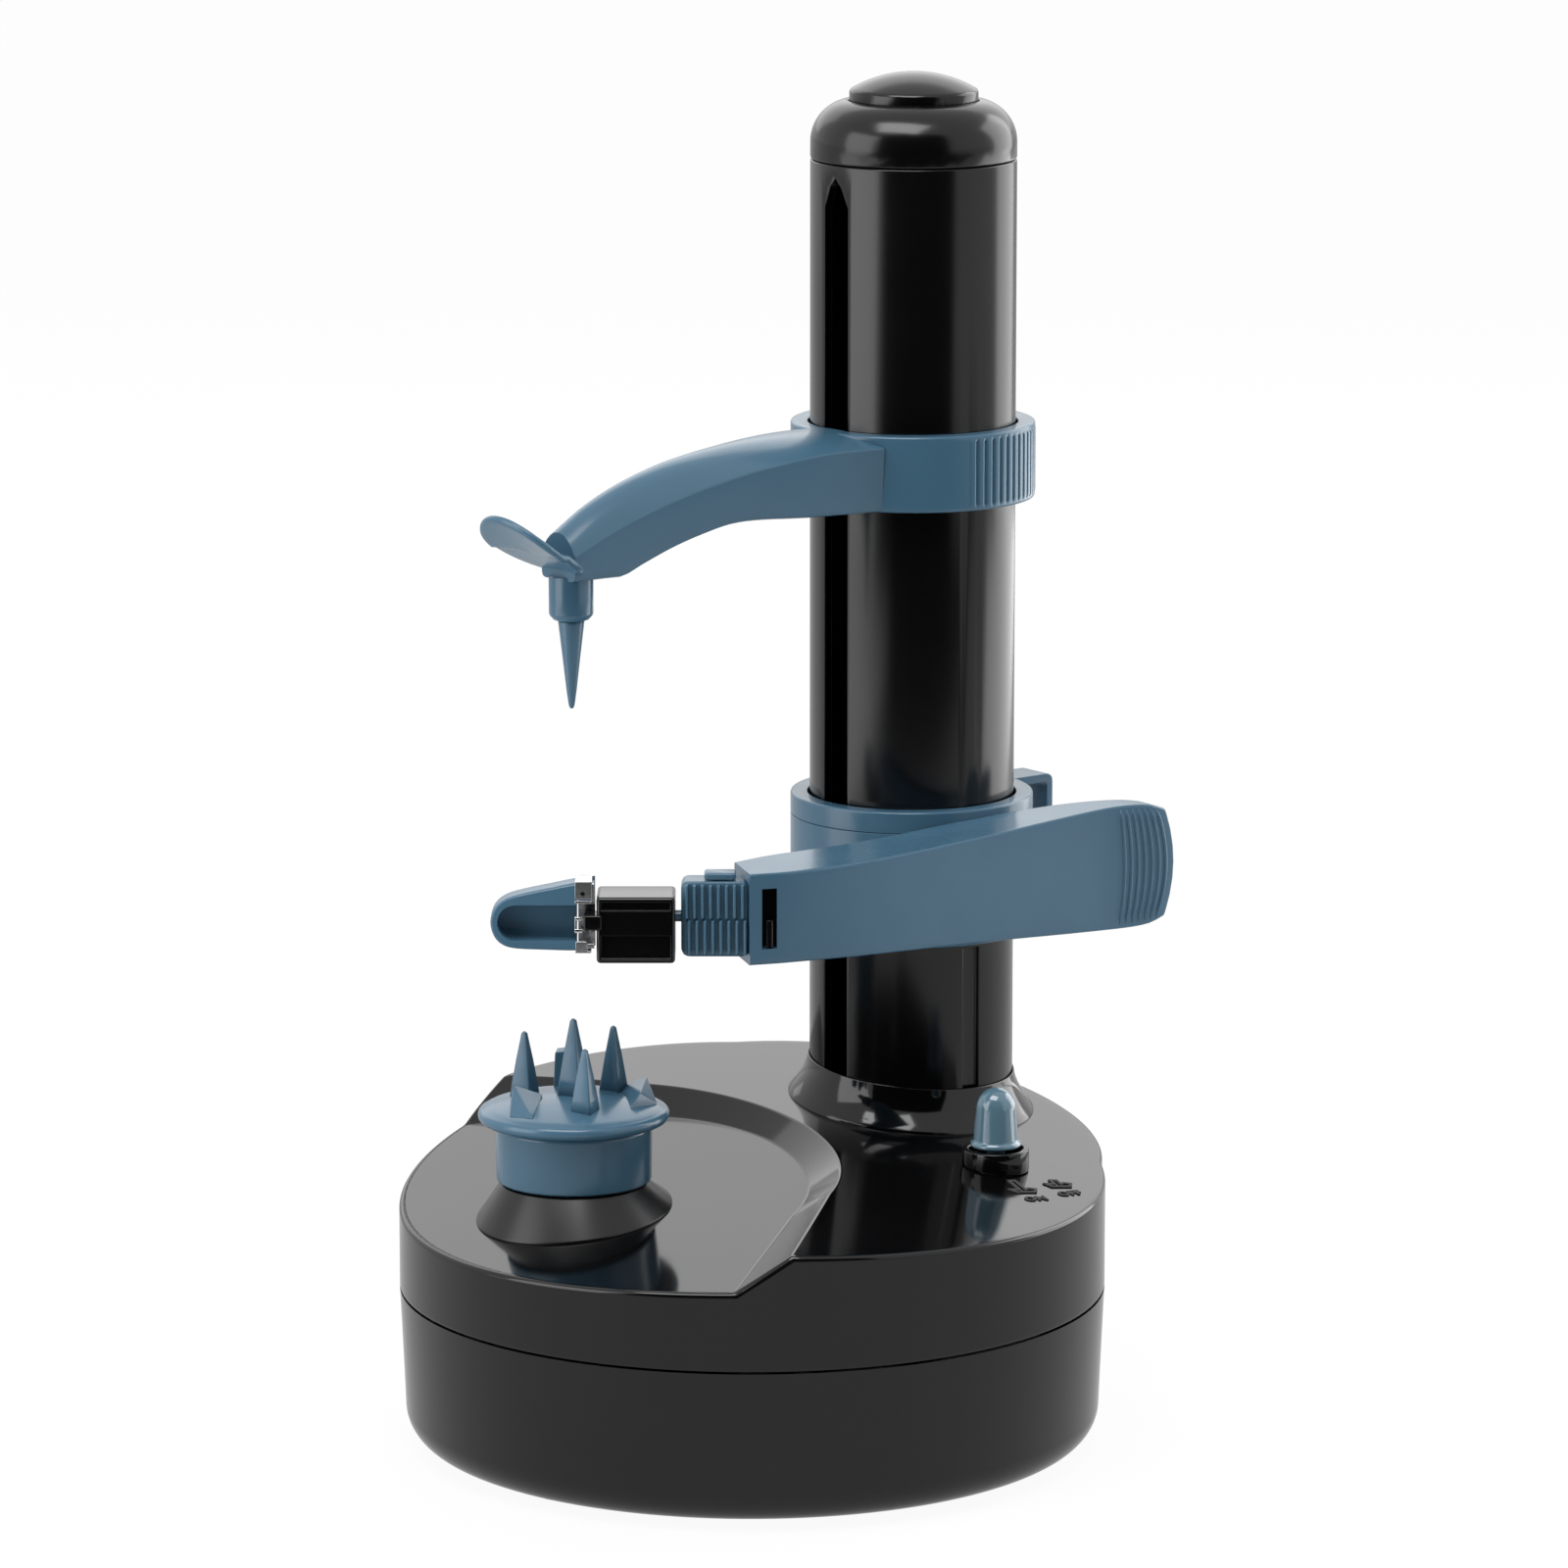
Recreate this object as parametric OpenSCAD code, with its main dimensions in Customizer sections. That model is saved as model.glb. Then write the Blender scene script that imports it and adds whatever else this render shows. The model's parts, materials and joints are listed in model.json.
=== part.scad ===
// Electric potato peeler: battery base with a turntable, a guide column with a
// lead screw, a sprung peeling lever on a travelling carriage and a top arm.
// Millimetres, Z up, front of the base towards -Y, centre of the base on Z.

/* [Base shells] */
// radius of the round base
base_radius = 75; // [65:0.5:85]
// height of the joint line between the two shells
seam_height = 34.4; // [28:0.2:40]
// wall thickness of both shells
shell_wall = 2.4; // [1.8:0.1:3.2]
// dark line left between the two shells
seam_gap = 0.3; // [0.2:0.05:0.6]
// rounding where the side turns into the underside
corner_radius = 7.5; // [4:0.5:10]
// how much the lower shell narrows towards the table
side_draft = 1.1; // [0:0.1:2]
// height of the rubber feet under the shell
foot_height = 1.5; // [1:0.1:3]
// radius of a rubber foot
foot_radius = 6; // [4:0.5:8]
// distance of the feet from the middle
foot_circle = 58; // [56:0.5:60]
// distance of the base screws from the middle
screw_circle = 62; // [60:0.5:64]
// radius of the back of the base, which carries the column
back_radius = 62; // [61:0.5:63]
// distance of the centre of that back from the middle of the base
back_shift = 20; // [19:0.5:21]

/* [Deck and tray] */
// height of the deck over the middle of the base
deck_height = 64.5; // [60:0.5:70]
// angle at which the deck rises towards the back
deck_slope = 4; // [2:0.25:6]
// radius of the sideways crown of the deck
deck_crown = 700; // [500:10:900]
// sideways place of the top of the deck crown
deck_crown_x = -22; // [-30:1:-10]
// depth of the tray floor under the deck at the middle of the base
tray_drop = 5.3; // [4.5:0.1:6.5]
// angle at which the tray falls towards the front
tray_slope = 6.3; // [5:0.1:7]
// radius of the sideways crown of the tray
tray_crown = 500; // [400:10:700]
// sideways place of the top of the tray crown
tray_crown_x = 8; // [0:1:15]
// radius of the tray wall around the turntable at deck level
tray_radius = 56; // [52:0.5:58]
// how far the tray wall leans out for each unit it rises
wall_lean = 1.5; // [1.2:0.05:1.8]
// direction that the front stretch of the tray wall faces
front_wall_turn = -5.7; // [-10:0.1:0]
// direction that the back stretch of the tray wall faces
back_wall_turn = 73.6; // [65:0.1:80]

/* [Turntable] */
// sideways place of the turntable axis
table_x = -37.3; // [-40:0.1:-34]
// place of the turntable axis from front to back
table_y = -20.4; // [-24:0.1:-17]
// radius of the spiked disc
disc_radius = 20.1; // [18:0.1:22]
// height of the underside of the spiked disc above the deck
disc_lift = 10.1; // [9:0.1:12]
// thickness of the disc rim
disc_rim = 2.6; // [2:0.1:3.2]
// rise of the disc from the rim to the middle
disc_rise = 2.8; // [1:0.1:3.5]
// radius of the drum under the disc
drum_radius = 16.3; // [15:0.1:17.5]
// length of the drum under the disc
drum_length = 12.7; // [11:0.1:13]
// length of the middle spike above the disc
spike_length = 16.4; // [12:0.2:20]
// length of the three outer spikes
side_spike_length = 13.6; // [10:0.2:16]
// radius of the ring of outer spikes
spike_circle = 11.2; // [9:0.1:12.5]
// radius of a spike at its root
spike_root = 3; // [2:0.1:3.6]
// turn of the first outer spike
spike_turn = 38; // [0:1:60]
// height of the wedge fins between the outer spikes
fin_height = 4.6; // [3:0.1:6]
// length of a wedge fin
fin_length = 8.5; // [6:0.1:10]
// thickness of a wedge fin
fin_width = 4.2; // [2:0.1:5]
// radius of the cone that keeps juice out of the base
drip_radius = 20.5; // [19:0.1:22]
// radius of the turntable spindle
spindle_radius = 4; // [3:0.1:5]

/* [Column] */
// sideways place of the column axis
column_x = 34.3; // [32:0.1:37]
// place of the column axis from front to back
column_y = 40.4; // [38:0.1:42]
// radius of the column
column_radius = 22; // [20:0.1:24]
// wall of the column tube
column_wall = 2.2; // [1.6:0.1:3]
// height of the joint line under the cap
cap_height = 269.8; // [255:0.2:285]
// rounding of the cap
cap_rounding = 9; // [6:0.1:10]
// straight height of the cap side
cap_side = 3.5; // [2:0.1:6]
// radius of the round plug in the cap
plug_radius = 13.8; // [12:0.1:15]
// height of the plug wall above the cap
plug_wall = 1.9; // [1:0.1:3]
// rise of the plug dome above its wall
plug_rise = 3.9; // [3:0.1:5]
// width of the guide slot in the column
slot_width = 7.2; // [5:0.1:8]
// height of the lower end of the guide slot above the deck
slot_rise = 7.5; // [6:0.5:10]
// distance from the cap joint down to the shoulders of the pointed slot end
slot_gap = 8.8; // [8:0.2:20]
// height of the point above the slot shoulders
slot_point = 6; // [3:0.5:7]
// radius of the flared ring at the foot of the column
foot_ring_radius = 26.7; // [25:0.1:28]
// height of the flared ring above the deck
foot_ring_height = 6.4; // [5:0.1:8]
// direction of the short rail groove, from the front
rail_turn = 35; // [25:1:45]
// width of the short rail groove
rail_width = 4; // [2:0.1:5]
// depth of the short rail groove
rail_depth = 1; // [0.5:0.1:1.4]
// height of the upper end of the short rail groove
rail_high = 102; // [95:1:110]

/* [Top arm] */
// height of the underside of the top collar
collar_height = 197.6; // [190:0.5:200]
// height of the top collar itself
collar_length = 16.2; // [14:0.1:20]
// outer radius of both collars
collar_radius = 26.15; // [25.5:0.05:28]
// number of finger ribs on the top collar
rib_count = 15; // [8:1:20]
// step from one finger rib to the next
rib_step = 8; // [6:0.5:9]
// width of a finger rib
rib_width = 2.2; // [1.5:0.1:2.8]
// how far the finger ribs stand out
rib_depth = 0.6; // [0.3:0.1:1]
// half width of the arm where it leaves the collar
arm_root_half = 15.5; // [12:0.5:18]
// half width of the arm at the spike
arm_tip_half = 5.6; // [5:0.1:8]
// drop of the arm top from the collar to its tip
arm_drop = 14.5; // [10:0.5:18]
// depth of the arm at its tip
arm_tip_depth = 9.4; // [8:0.1:12]
// radius of the thumb pad
pad_radius = 11.5; // [9:0.5:13]
// thickness of the thumb pad
pad_thickness = 2.4; // [1.8:0.1:3.2]
// tilt of the thumb pad
pad_tilt = 33; // [20:1:45]
// distance of the pad from the spike axis
pad_reach = 11; // [9:0.5:14]
// radius of the socket that holds the top spike
socket_radius = 4.65; // [4:0.05:5.5]
// how far that socket hangs below the top collar
socket_drop = 16.6; // [14:0.2:20]
// length of the top spike below its socket
top_spike_length = 18.3; // [15:0.1:20]
// radius of the top spike at the socket
top_spike_root = 2.8; // [2:0.1:3.4]

/* [Carriage and lever] */
// height of the underside of the carriage
carriage_height = 103; // [101:0.5:106]
// height of the carriage
carriage_length = 30.2; // [28:0.2:32]
// wall of the carriage sleeve
sleeve_wall = 1.3; // [1:0.1:1.8]
// height of the carriage flange above the lever
flange_height = 4.6; // [3:0.1:6]
// direction that the lever runs in, from the X axis
lever_turn = 38; // [34:0.5:42]
// distance of the lever front face from the column axis
lever_front = 40; // [39:0.2:42]
// how far the tail curls forward
tail_curl = 3.4; // [2:0.2:5]
// thickness of the lever where it passes the column
lever_thickness = 13; // [11:0.2:14]
// length of the lever from the column axis to its tail
tail_reach = 38.6; // [36:0.2:42]
// thickness of the tail
tail_thickness = 3; // [2.4:0.1:4]
// height of the lever at the tail
tail_depth = 27; // [24:0.2:28]
// height of the lever at the barrel
barrel_depth = 19.4; // [18:0.2:21]
// height of the middle line of the lever above the carriage underside
lever_rise = 16.5; // [16:0.1:17]
// number of finger ribs on the tail
tail_rib_count = 6; // [4:1:8]
// step between the tail ribs
tail_rib_step = 1.7; // [1.4:0.1:2]
// distance of the finger tab from the column axis
tab_reach = 36; // [33:0.5:38]
// direction of the finger tab
tab_turn = 38; // [36:1:50]

/* [Blade head] */
// place of the swivel axis from front to back
head_y = -26; // [-27:0.1:-25.5]
// radius of the head shaft
head_shaft_radius = 1.2; // [1:0.05:1.5]
// right end of the ribbed grip
grip_right = -0.6; // [-1:0.1:0]
// length of the ribbed grip
grip_length = 14; // [12:0.1:15]
// height of the ribbed grip
grip_depth = 16; // [14:0.1:17]
// front to back size of the ribbed grip
grip_thickness = 9; // [8:0.1:10]
// right end of the black swivel block
block_right = -16.2; // [-17:0.1:-16]
// length of the black swivel block
block_length = 15.9; // [14:0.1:17]
// height of the black swivel block
block_depth = 14; // [12:0.1:15]
// front to back size of the black swivel block
block_thickness = 12.6; // [12:0.1:13]
// left end of the blade guard
guard_left = -54.2; // [-56:0.1:-52]
// height of the blade guard at its wide end
guard_depth = 15; // [14:0.1:16]
// front to back size of the blade guard
guard_thickness = 5.8; // [5:0.1:6]
// thickness of the peeling blade
blade_thickness = 0.6; // [0.4:0.1:0.8]

/* [Power button] */
// sideways place of the power button
button_x = 51.6; // [50:0.1:53]
// place of the power button from front to back
button_y = -4; // [-6:0.1:-2]
// radius of the button capsule
button_radius = 4.3; // [3.8:0.1:5]
// length of the button above the underside of its flange
button_length = 12.7; // [10:0.1:14]
// radius of the button flange
button_flange = 5.4; // [5.2:0.1:6]
// height of the button flange above the deck when the button is up
button_lift = 4.6; // [4.4:0.1:6]
// radius of the black socket around the button
button_socket_radius = 7.1; // [6.8:0.1:8]

/* [Drive] */
// size of the gear teeth
gear_module = 1; // [0.9:0.02:1.02]
// teeth of each small gear
pinion_teeth = 10; // [9:1:11]
// teeth of each large gear
wheel_teeth = 40; // [38:1:41]
// teeth of the idler gears and of the screw gear
idler_teeth = 30; // [29:1:31]
// face width of a gear
gear_face = 4.6; // [3:0.1:5]
// height of the lowest gear layer
gear_low = 23; // [22.5:0.1:24]
// gap between the gear layers
layer_gap = 0.6; // [0.4:0.1:0.8]
// radius of the gear axles
axle_radius = 1.5; // [1:0.1:2]
// direction from the turntable to the second reduction gear
second_gear_turn = 80; // [78:1:84]
// direction from the second reduction gear to the first
first_gear_turn = 95; // [92:1:98]
// direction from the first reduction gear to the motor
motor_turn = 30; // [28:1:34]
// radius of the motor can
motor_radius = 12; // [10:0.5:12.5]
// crest radius of the lead screw
screw_radius = 5; // [4:0.1:6]
// depth of the lead screw thread
thread_depth = 0.9; // [0.5:0.1:1.2]
// spacing of the lead screw thread
thread_pitch = 3; // [2.5:0.1:4]
// outer radius of the drive nut
nut_radius = 9; // [8:0.1:10]
// height of the drive nut
nut_length = 14; // [10:0.5:16]

/* [Batteries] */
// length of one cell
cell_length = 50.5; // [49.5:0.1:51]
// radius of one cell
cell_radius = 7.1; // [6.9:0.05:7.25]
// sideways place of the middle of the battery box
battery_x = 8; // [6:0.5:10]
// place of the middle of the battery box from front to back
battery_y = -24.5; // [-26:0.5:-23]
// wall of the battery box
box_wall = 1.6; // [1.2:0.1:1.8]

/* [Node shown] */
// which node is built

/* [Hidden] */

// roundness of circles and cylinders
$fn = 96;
// overrun used wherever one shape cuts through another
over = 1;
// running clearance of a shaft in a hole, on the radius
run_fit = 0.08;
// clearance between pieces that must not touch
clear = 0.35;
// slack of a piece that sits in a recess
seat = 0.15;
// heights counted from the deck and from the pieces that carry them
tray_height = deck_height - tray_drop;
disc_height = deck_height + disc_lift;
drum_height = disc_height - drum_length;
slot_low = deck_height + slot_rise;
slot_high = cap_height - slot_gap;
socket_height = collar_height - socket_drop;
lever_middle = carriage_height + lever_rise;
// height of the shells' bottom face
shell_low = foot_height;
// top of the lower shell and bottom of the upper shell
seam_low = seam_height - seam_gap / 2;
seam_top = seam_height + seam_gap / 2;
floor_top = shell_low + shell_wall;
// half size of the blocks that stand for all space on one side of a plane
far = base_radius * 3;

// battery box, its door and the springs at the cell ends
contact_room = 3.5;
cell_slack = 0.4;
door_thickness = 1.8;
door_lip = 1.5;
box_length = cell_length + contact_room * 2;
box_width = (cell_radius + seat) * 8 + cell_slack * 2;
box_low = shell_low + door_thickness;
box_roof = box_low + cell_radius * 2 + seat * 4;
box_top = box_roof + box_wall;
cell_button = 2.6;
contact_thickness = 0.6;
contact_wire = 0.5;
contact_coil = 4;

// screws, bosses, posts and the recesses that take them
boss_radius = 4;
boss_low_hole = 1.2;
boss_high_hole = 0.8;
screw_way = 1.6;
screw_shank = 1.15;
screw_head = 2.7;
screw_head_height = 2;
screw_recess = 0.6;
head_way = 3;
cross_length = 3.2;
cross_width = 0.6;
cross_depth = 0.9;
foot_recess = 0.8;

// gear layers and centres
layer_step = gear_face + layer_gap;
layer_1 = gear_low;
layer_2 = gear_low + layer_step;
layer_3 = gear_low + layer_step * 2;
plate_low = layer_3 + gear_face + layer_gap;
plate_thick = 2;
plate_top = plate_low + plate_thick;
motor_shaft = 1;
small_pitch = gear_module * pinion_teeth / 2;
large_pitch = gear_module * wheel_teeth / 2;
idler_pitch = gear_module * idler_teeth / 2;
reduction_step = small_pitch + large_pitch;
table_at = [table_x, table_y];
column_at = [column_x, column_y];
second_at = table_at + reduction_step * [cos(second_gear_turn), sin(second_gear_turn)];
first_at = second_at + reduction_step * [cos(first_gear_turn), sin(first_gear_turn)];
motor_at = first_at + reduction_step * [cos(motor_turn), sin(motor_turn)];
food_gap = norm(column_at - table_at);
food_turn = atan2(column_y - table_y, column_x - table_x);
idler_step_1 = large_pitch + idler_pitch;
idler_step_2 = idler_pitch * 4;
idler_bend = acos((idler_step_1 * idler_step_1 + food_gap * food_gap
    - idler_step_2 * idler_step_2) / (2 * idler_step_1 * food_gap));
left_turn = food_turn - idler_bend;
left_at = table_at + idler_step_1 * [cos(left_turn), sin(left_turn)];
right_turn = atan2(column_y - left_at[1], column_x - left_at[0]);
right_at = left_at + idler_pitch * 2 * [cos(right_turn), sin(right_turn)];

// tooth phases, so that a tooth always faces a gap
function meet(turn, phase, count, other) = turn + 180 + 180 / other + (turn - phase) * count / other;
table_phase = left_turn;
left_phase = meet(left_turn, table_phase, wheel_teeth, idler_teeth);
right_phase = meet(right_turn, left_phase, idler_teeth, idler_teeth);
screw_phase = meet(right_turn, right_phase, idler_teeth, idler_teeth);
second_phase = meet(second_gear_turn, table_phase, wheel_teeth, pinion_teeth);
first_phase = meet(first_gear_turn, 0, wheel_teeth, pinion_teeth);
motor_phase = meet(motor_turn, 0, wheel_teeth, pinion_teeth);

// column, collars and lever
bore_radius = column_radius + clear;
sleeve_radius = bore_radius + sleeve_wall;
slot_turn = food_turn + 180;
carriage_top = carriage_height + carriage_length;
flange_low = carriage_top - flange_height;
ring_height = 2.2;
blade_gap = 3.6;
lever_low = carriage_height + ring_height + clear;
lever_high = flange_low - clear;
barrel_x = -1;
guard_right = block_right - block_length - blade_gap;
head_front = head_y - block_thickness / 2;
bush_drop = 1.5;
bush_length = 4.6;
screw_top = cap_height + bush_length - bush_drop - over / 2;

// Puts a shape at each of some turns on a circle round the middle.
module at_turns(turns, circle, height) {
    for (turn = turns)
        translate([circle * cos(turn), circle * sin(turn), height])
            children();
}

// Puts a shape at each of some places.
module at_places(places, height) {
    for (place = places)
        translate([place[0], place[1], height])
            children();
}

module at_table(height) {
    translate([table_x, table_y, height])
        children();
}

module at_column(height) {
    translate([column_x, column_y, height])
        children();
}

// Space under the sloping crowned deck.
module deck_space(drop) {
    rotate([deck_slope, 0, 0])
        translate([deck_crown_x, 0, deck_height - drop - deck_crown])
            rotate([90, 0, 0])
                cylinder(h = far * 2, r = deck_crown, center = true, $fn = 900);
}

// Space under the crowned tray floor.
module tray_space(drop) {
    rotate([tray_slope, 0, 0])
        translate([tray_crown_x, 0, tray_height - drop - tray_crown])
            rotate([90, 0, 0])
                cylinder(h = far * 2, r = tray_crown, center = true, $fn = 900);
}

// how far the tray wall lies outside its radius at deck level
stretch_offset = 3;
cone_offset = 3.3;

// Straight stretch of the tray wall, leaning like the round part.
module wall_stretch(turn, side, grow) {
    low = seam_height;
    high = deck_height + base_radius / 4;
    foot = tray_radius + grow + (low - deck_height) * wall_lean + stretch_offset;
    head = tray_radius + grow + (high - deck_height) * wall_lean + stretch_offset;
    at_table(0)
        rotate([0, 0, turn])
            rotate([90, 0, 0])
                translate([0, 0, side > 0 ? -far : 0])
                    linear_extrude(height = far)
                        polygon([[-seam_height, low], [foot, low], [head, high], [-seam_height, high]]);
}

// Space inside the tray wall, above the tray floor.
module tray_hollow(grow) {
    low = seam_height;
    high = deck_height + base_radius / 4;
    difference() {
        union() {
            at_table(low)
                cylinder(h = high - low,
                    r1 = tray_radius + grow + (low - deck_height) * wall_lean + cone_offset,
                    r2 = tray_radius + grow + (high - deck_height) * wall_lean + cone_offset);
            wall_stretch(front_wall_turn, -1, grow);
            wall_stretch(back_wall_turn, 1, grow);
        }
        tray_space(grow);
    }
}

// Outer form of the upper shell, shrunk for its inside.
module upper_form(shrink) {
    difference() {
        intersection() {
            linear_extrude(height = deck_height * 2)
                base_plan(shrink);
            deck_space(shrink);
        }
        tray_hollow(shrink);
    }
}

back_turn = atan2(column_y, column_x);
back_at = back_shift * [cos(back_turn), sin(back_turn)];

// how far the back's underside stands above the rest
back_lift = 0.4;

// Round base with a smaller circle added behind, under the column.
module base_plan(shrink) {
    circle(r = base_radius - shrink);
    translate(back_at)
        circle(r = back_radius - shrink);
}

module lower_form(shrink) {
    rotate_extrude()
        lower_profile(base_radius, shrink);
    translate([back_at[0], back_at[1], back_lift])
        rotate_extrude()
            lower_profile(back_radius, shrink);
}

module lower_profile(radius, shrink) {
    low = shell_low + shrink;
    side = radius - side_draft - shrink;
    curve = corner_radius - shrink;
    union() {
        polygon([[0, low + curve], [side, low + curve], [radius - shrink, seam_low],
            [radius - shrink, seam_height + over], [0, seam_height + over]]);
        square_width = side - curve;
        translate([0, low])
            square([square_width, curve + over]);
        intersection() {
            translate([square_width, low + curve])
                circle(r = curve);
            translate([0, low])
                square([radius, curve + over]);
        }
    }
}

screw_turns = [-12, 96, 172, 240];
foot_turns = [50, 140, 228, 328];

module screw_bosses(low, high, hole) {
    at_turns(screw_turns, screw_circle, low)
        difference() {
            cylinder(h = high - low, r = boss_radius);
            translate([0, 0, -over])
                cylinder(h = high - low + over * 2, r = hole);
        }
}

module battery_box_form(grow, low, high) {
    translate([battery_x - box_length / 2 - grow, battery_y - box_width / 2 - grow, low])
        cube([box_length + grow * 2, box_width + grow * 2, high - low]);
}

post_radius = 3.2;
post_low = floor_top - over / 2;
post_shares = [[-0.827, 0.24], [-0.08, 0.267], [0.08, 0.827], [0.827, 0.373], [-0.733, -0.507]];
plate_posts = [for (share = post_shares) base_radius * share];
post_hole = 1.2;

module lower_shell() {
    color("#17181a")
    difference() {
        union() {
            difference() {
                lower_form(0);
                lower_form(shell_wall);
                translate([0, 0, seam_low])
                    cylinder(h = shell_wall * 4, r = base_radius * 2);
            }
            battery_box_form(box_wall, shell_low + over / 2, box_top);
            screw_bosses(post_low, seam_low, boss_low_hole);
            at_places(plate_posts, post_low)
                cylinder(h = plate_low - post_low, r = post_radius);
            at_places([motor_at], post_low)
                cylinder(h = shell_wall * 3.5, r = motor_radius + shell_wall);
            at_table(post_low)
                cylinder(h = shell_wall * 3, r = spindle_radius + shell_wall);
            at_column(post_low)
                cylinder(h = shell_wall * 3, r = screw_radius / 2 + shell_wall);
        }
        battery_box_form(0, shell_low - over, box_roof);
        battery_box_form(door_lip, shell_low - over, box_low);
        at_turns(screw_turns, screw_circle, shell_low - over) {
            cylinder(h = seam_height, r = screw_way);
            cylinder(h = shell_wall * 2, r = head_way);
        }
        at_places(plate_posts, plate_low - shell_wall * 3)
            cylinder(h = shell_wall * 4, r = post_hole);
        at_places([motor_at], floor_top)
            cylinder(h = seam_height, r = motor_radius + seat);
        at_places([first_at, second_at, right_at], shell_low + over / 2)
            cylinder(h = shell_wall * 4, r = axle_radius + run_fit / 2);
        at_table(floor_top)
            cylinder(h = shell_wall * 4, r = spindle_radius + run_fit);
        at_column(floor_top)
            cylinder(h = shell_wall * 4, r = screw_radius / 2 + run_fit);
        at_turns(foot_turns, foot_circle, shell_low - over)
            cylinder(h = over + foot_recess, r = foot_radius + seat);
    }
}

module upper_shell() {
    color("#17181a")
    difference() {
        union() {
            difference() {
                upper_form(0);
                upper_form(shell_wall);
            }
            intersection() {
                screw_bosses(seam_top, deck_height + base_radius / 4, boss_high_hole);
                upper_form(over / 2);
            }
        }
        translate([0, 0, -far])
            cylinder(h = far + seam_top, r = base_radius * 2);
        at_column(seam_top)
            cylinder(h = deck_height, r = column_radius + seat);
        on_foot_slope()
            cylinder(h = deck_height, r = foot_ring_radius + seat);
        at_table(seam_top)
            cylinder(h = deck_height, r = spindle_radius + shell_wall + seat);
        translate([button_x, button_y, seam_top])
            cylinder(h = deck_height, r = button_flange + seat);
        at_turns(screw_turns, screw_circle, seam_low)
            cylinder(h = shell_wall * 4, r = boss_low_hole);
    }
}

module rubber_feet() {
    color("#2c2c2e")
    at_turns(foot_turns, foot_circle, 0)
        cylinder(h = foot_height + foot_recess, r = foot_radius);
}

module base_screws() {
    color("#9a9da0")
    at_turns(screw_turns, screw_circle, shell_low + screw_recess)
        difference() {
            union() {
                cylinder(h = screw_head_height, r = screw_head);
                cylinder(h = seam_height - shell_low + shell_wall, r = screw_shank);
            }
            for (tilt = [0, 90])
                rotate([0, 0, tilt])
                    translate([-cross_length / 2, -cross_width / 2, -over])
                        cube([cross_length, cross_width, over + cross_depth]);
        }
}

module battery_door() {
    color("#1d1e20")
    union() {
        battery_box_form(door_lip - clear, shell_low, box_low - seat);
        translate([battery_x - box_length / 4, battery_y - box_width / 2 + clear, box_low - over])
            cube([box_length / 2, box_wall, over + box_wall]);
        translate([battery_x - box_length / 4, battery_y + box_width / 2 - clear - box_wall, box_low - over])
            cube([box_length / 2, box_wall, over + box_wall]);
    }
}

cell_places = [-3, -1, 1, 3];

module battery_cells() {
    color("#7d8a3c")
    for (row = cell_places)
        translate([battery_x, battery_y + row * (cell_radius + seat), box_low + cell_radius + seat])
            rotate([0, row == -3 || row == 1 ? 90 : -90, 0]) {
                cylinder(h = cell_length - over * 1.4, r = cell_radius, center = true);
                translate([0, 0, cell_length / 2 - over])
                    cylinder(h = over, r = cell_button);
            }
}

module battery_contacts() {
    color("#c9c3b4")
    for (side = [-1, 1])
        for (row = cell_places)
            translate([battery_x + side * (box_length - contact_thickness) / 2 - side * seat / 2,
                battery_y + row * (cell_radius + seat), box_low + cell_radius + seat]) {
                cube([contact_thickness, cell_radius * 1.6, cell_radius * 1.6], center = true);
                if (side * (row == -3 || row == 1 ? 1 : -1) < 0)
                    for (ring = [1 : 3])
                        translate([-side * ring * contact_thickness, 0, 0])
                            rotate([0, 90, 0])
                                rotate_extrude()
                                    translate([contact_coil - ring * contact_thickness, 0])
                                        circle(r = contact_wire, $fn = 24);
            }
}

// One spur gear with straight-flanked teeth, a tooth centred on its phase.
module spur(count, face, hole, phase) {
    pitch = gear_module * count / 2;
    root = pitch - gear_module * 1.15;
    tip = pitch + gear_module * 0.72;
    half_root = gear_module * 1.02;
    half_tip = gear_module * 0.36;
    difference() {
        linear_extrude(height = face)
            union() {
                circle(r = root);
                for (index = [0 : count - 1])
                    rotate(phase + index * 360 / count)
                        polygon([[root - gear_module / 2, -half_root], [tip, -half_tip],
                            [tip, half_tip], [root - gear_module / 2, half_root]]);
            }
        translate([0, 0, -over])
            cylinder(h = face + over * 2, r = hole);
    }
}

module plate_hole(radius) {
    cylinder(h = plate_thick + over * 2, r = radius);
}

module gear_plate() {
    plate_places = [first_at, second_at, left_at, right_at];
    color("#d9d5c8")
    difference() {
        intersection() {
            translate([0, 0, plate_low])
                linear_extrude(height = plate_thick)
                    base_plan(shell_wall + clear * 3);
            union() {
                translate([-far, table_y - large_pitch, plate_low - over])
                    cube([far * 2, far, plate_thick * 2 + over]);
                at_table(plate_low - over)
                    cylinder(h = plate_thick * 2 + over, r = large_pitch + plate_thick * 2);
            }
        }
        at_places(plate_places, plate_low - over)
            plate_hole(axle_radius + run_fit / 2);
        at_places(plate_posts, plate_low - over)
            plate_hole(post_hole + seat);
        at_table(plate_low - over)
            plate_hole(spindle_radius + run_fit);
        at_column(plate_low - over)
            plate_hole(screw_radius + shell_wall);
        at_places([motor_at], plate_low - over)
            plate_hole(small_pitch + gear_module * 2);
        at_turns(screw_turns, screw_circle, plate_low - over)
            plate_hole(boss_radius + clear);
    }
}

module plate_screws() {
    color("#9a9da0")
    at_places(plate_posts, plate_top) {
        cylinder(h = screw_head_height * 0.8, r = screw_head * 0.9);
        translate([0, 0, -shell_wall * 3])
            cylinder(h = shell_wall * 3 + over, r = post_hole - run_fit);
    }
}

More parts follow.
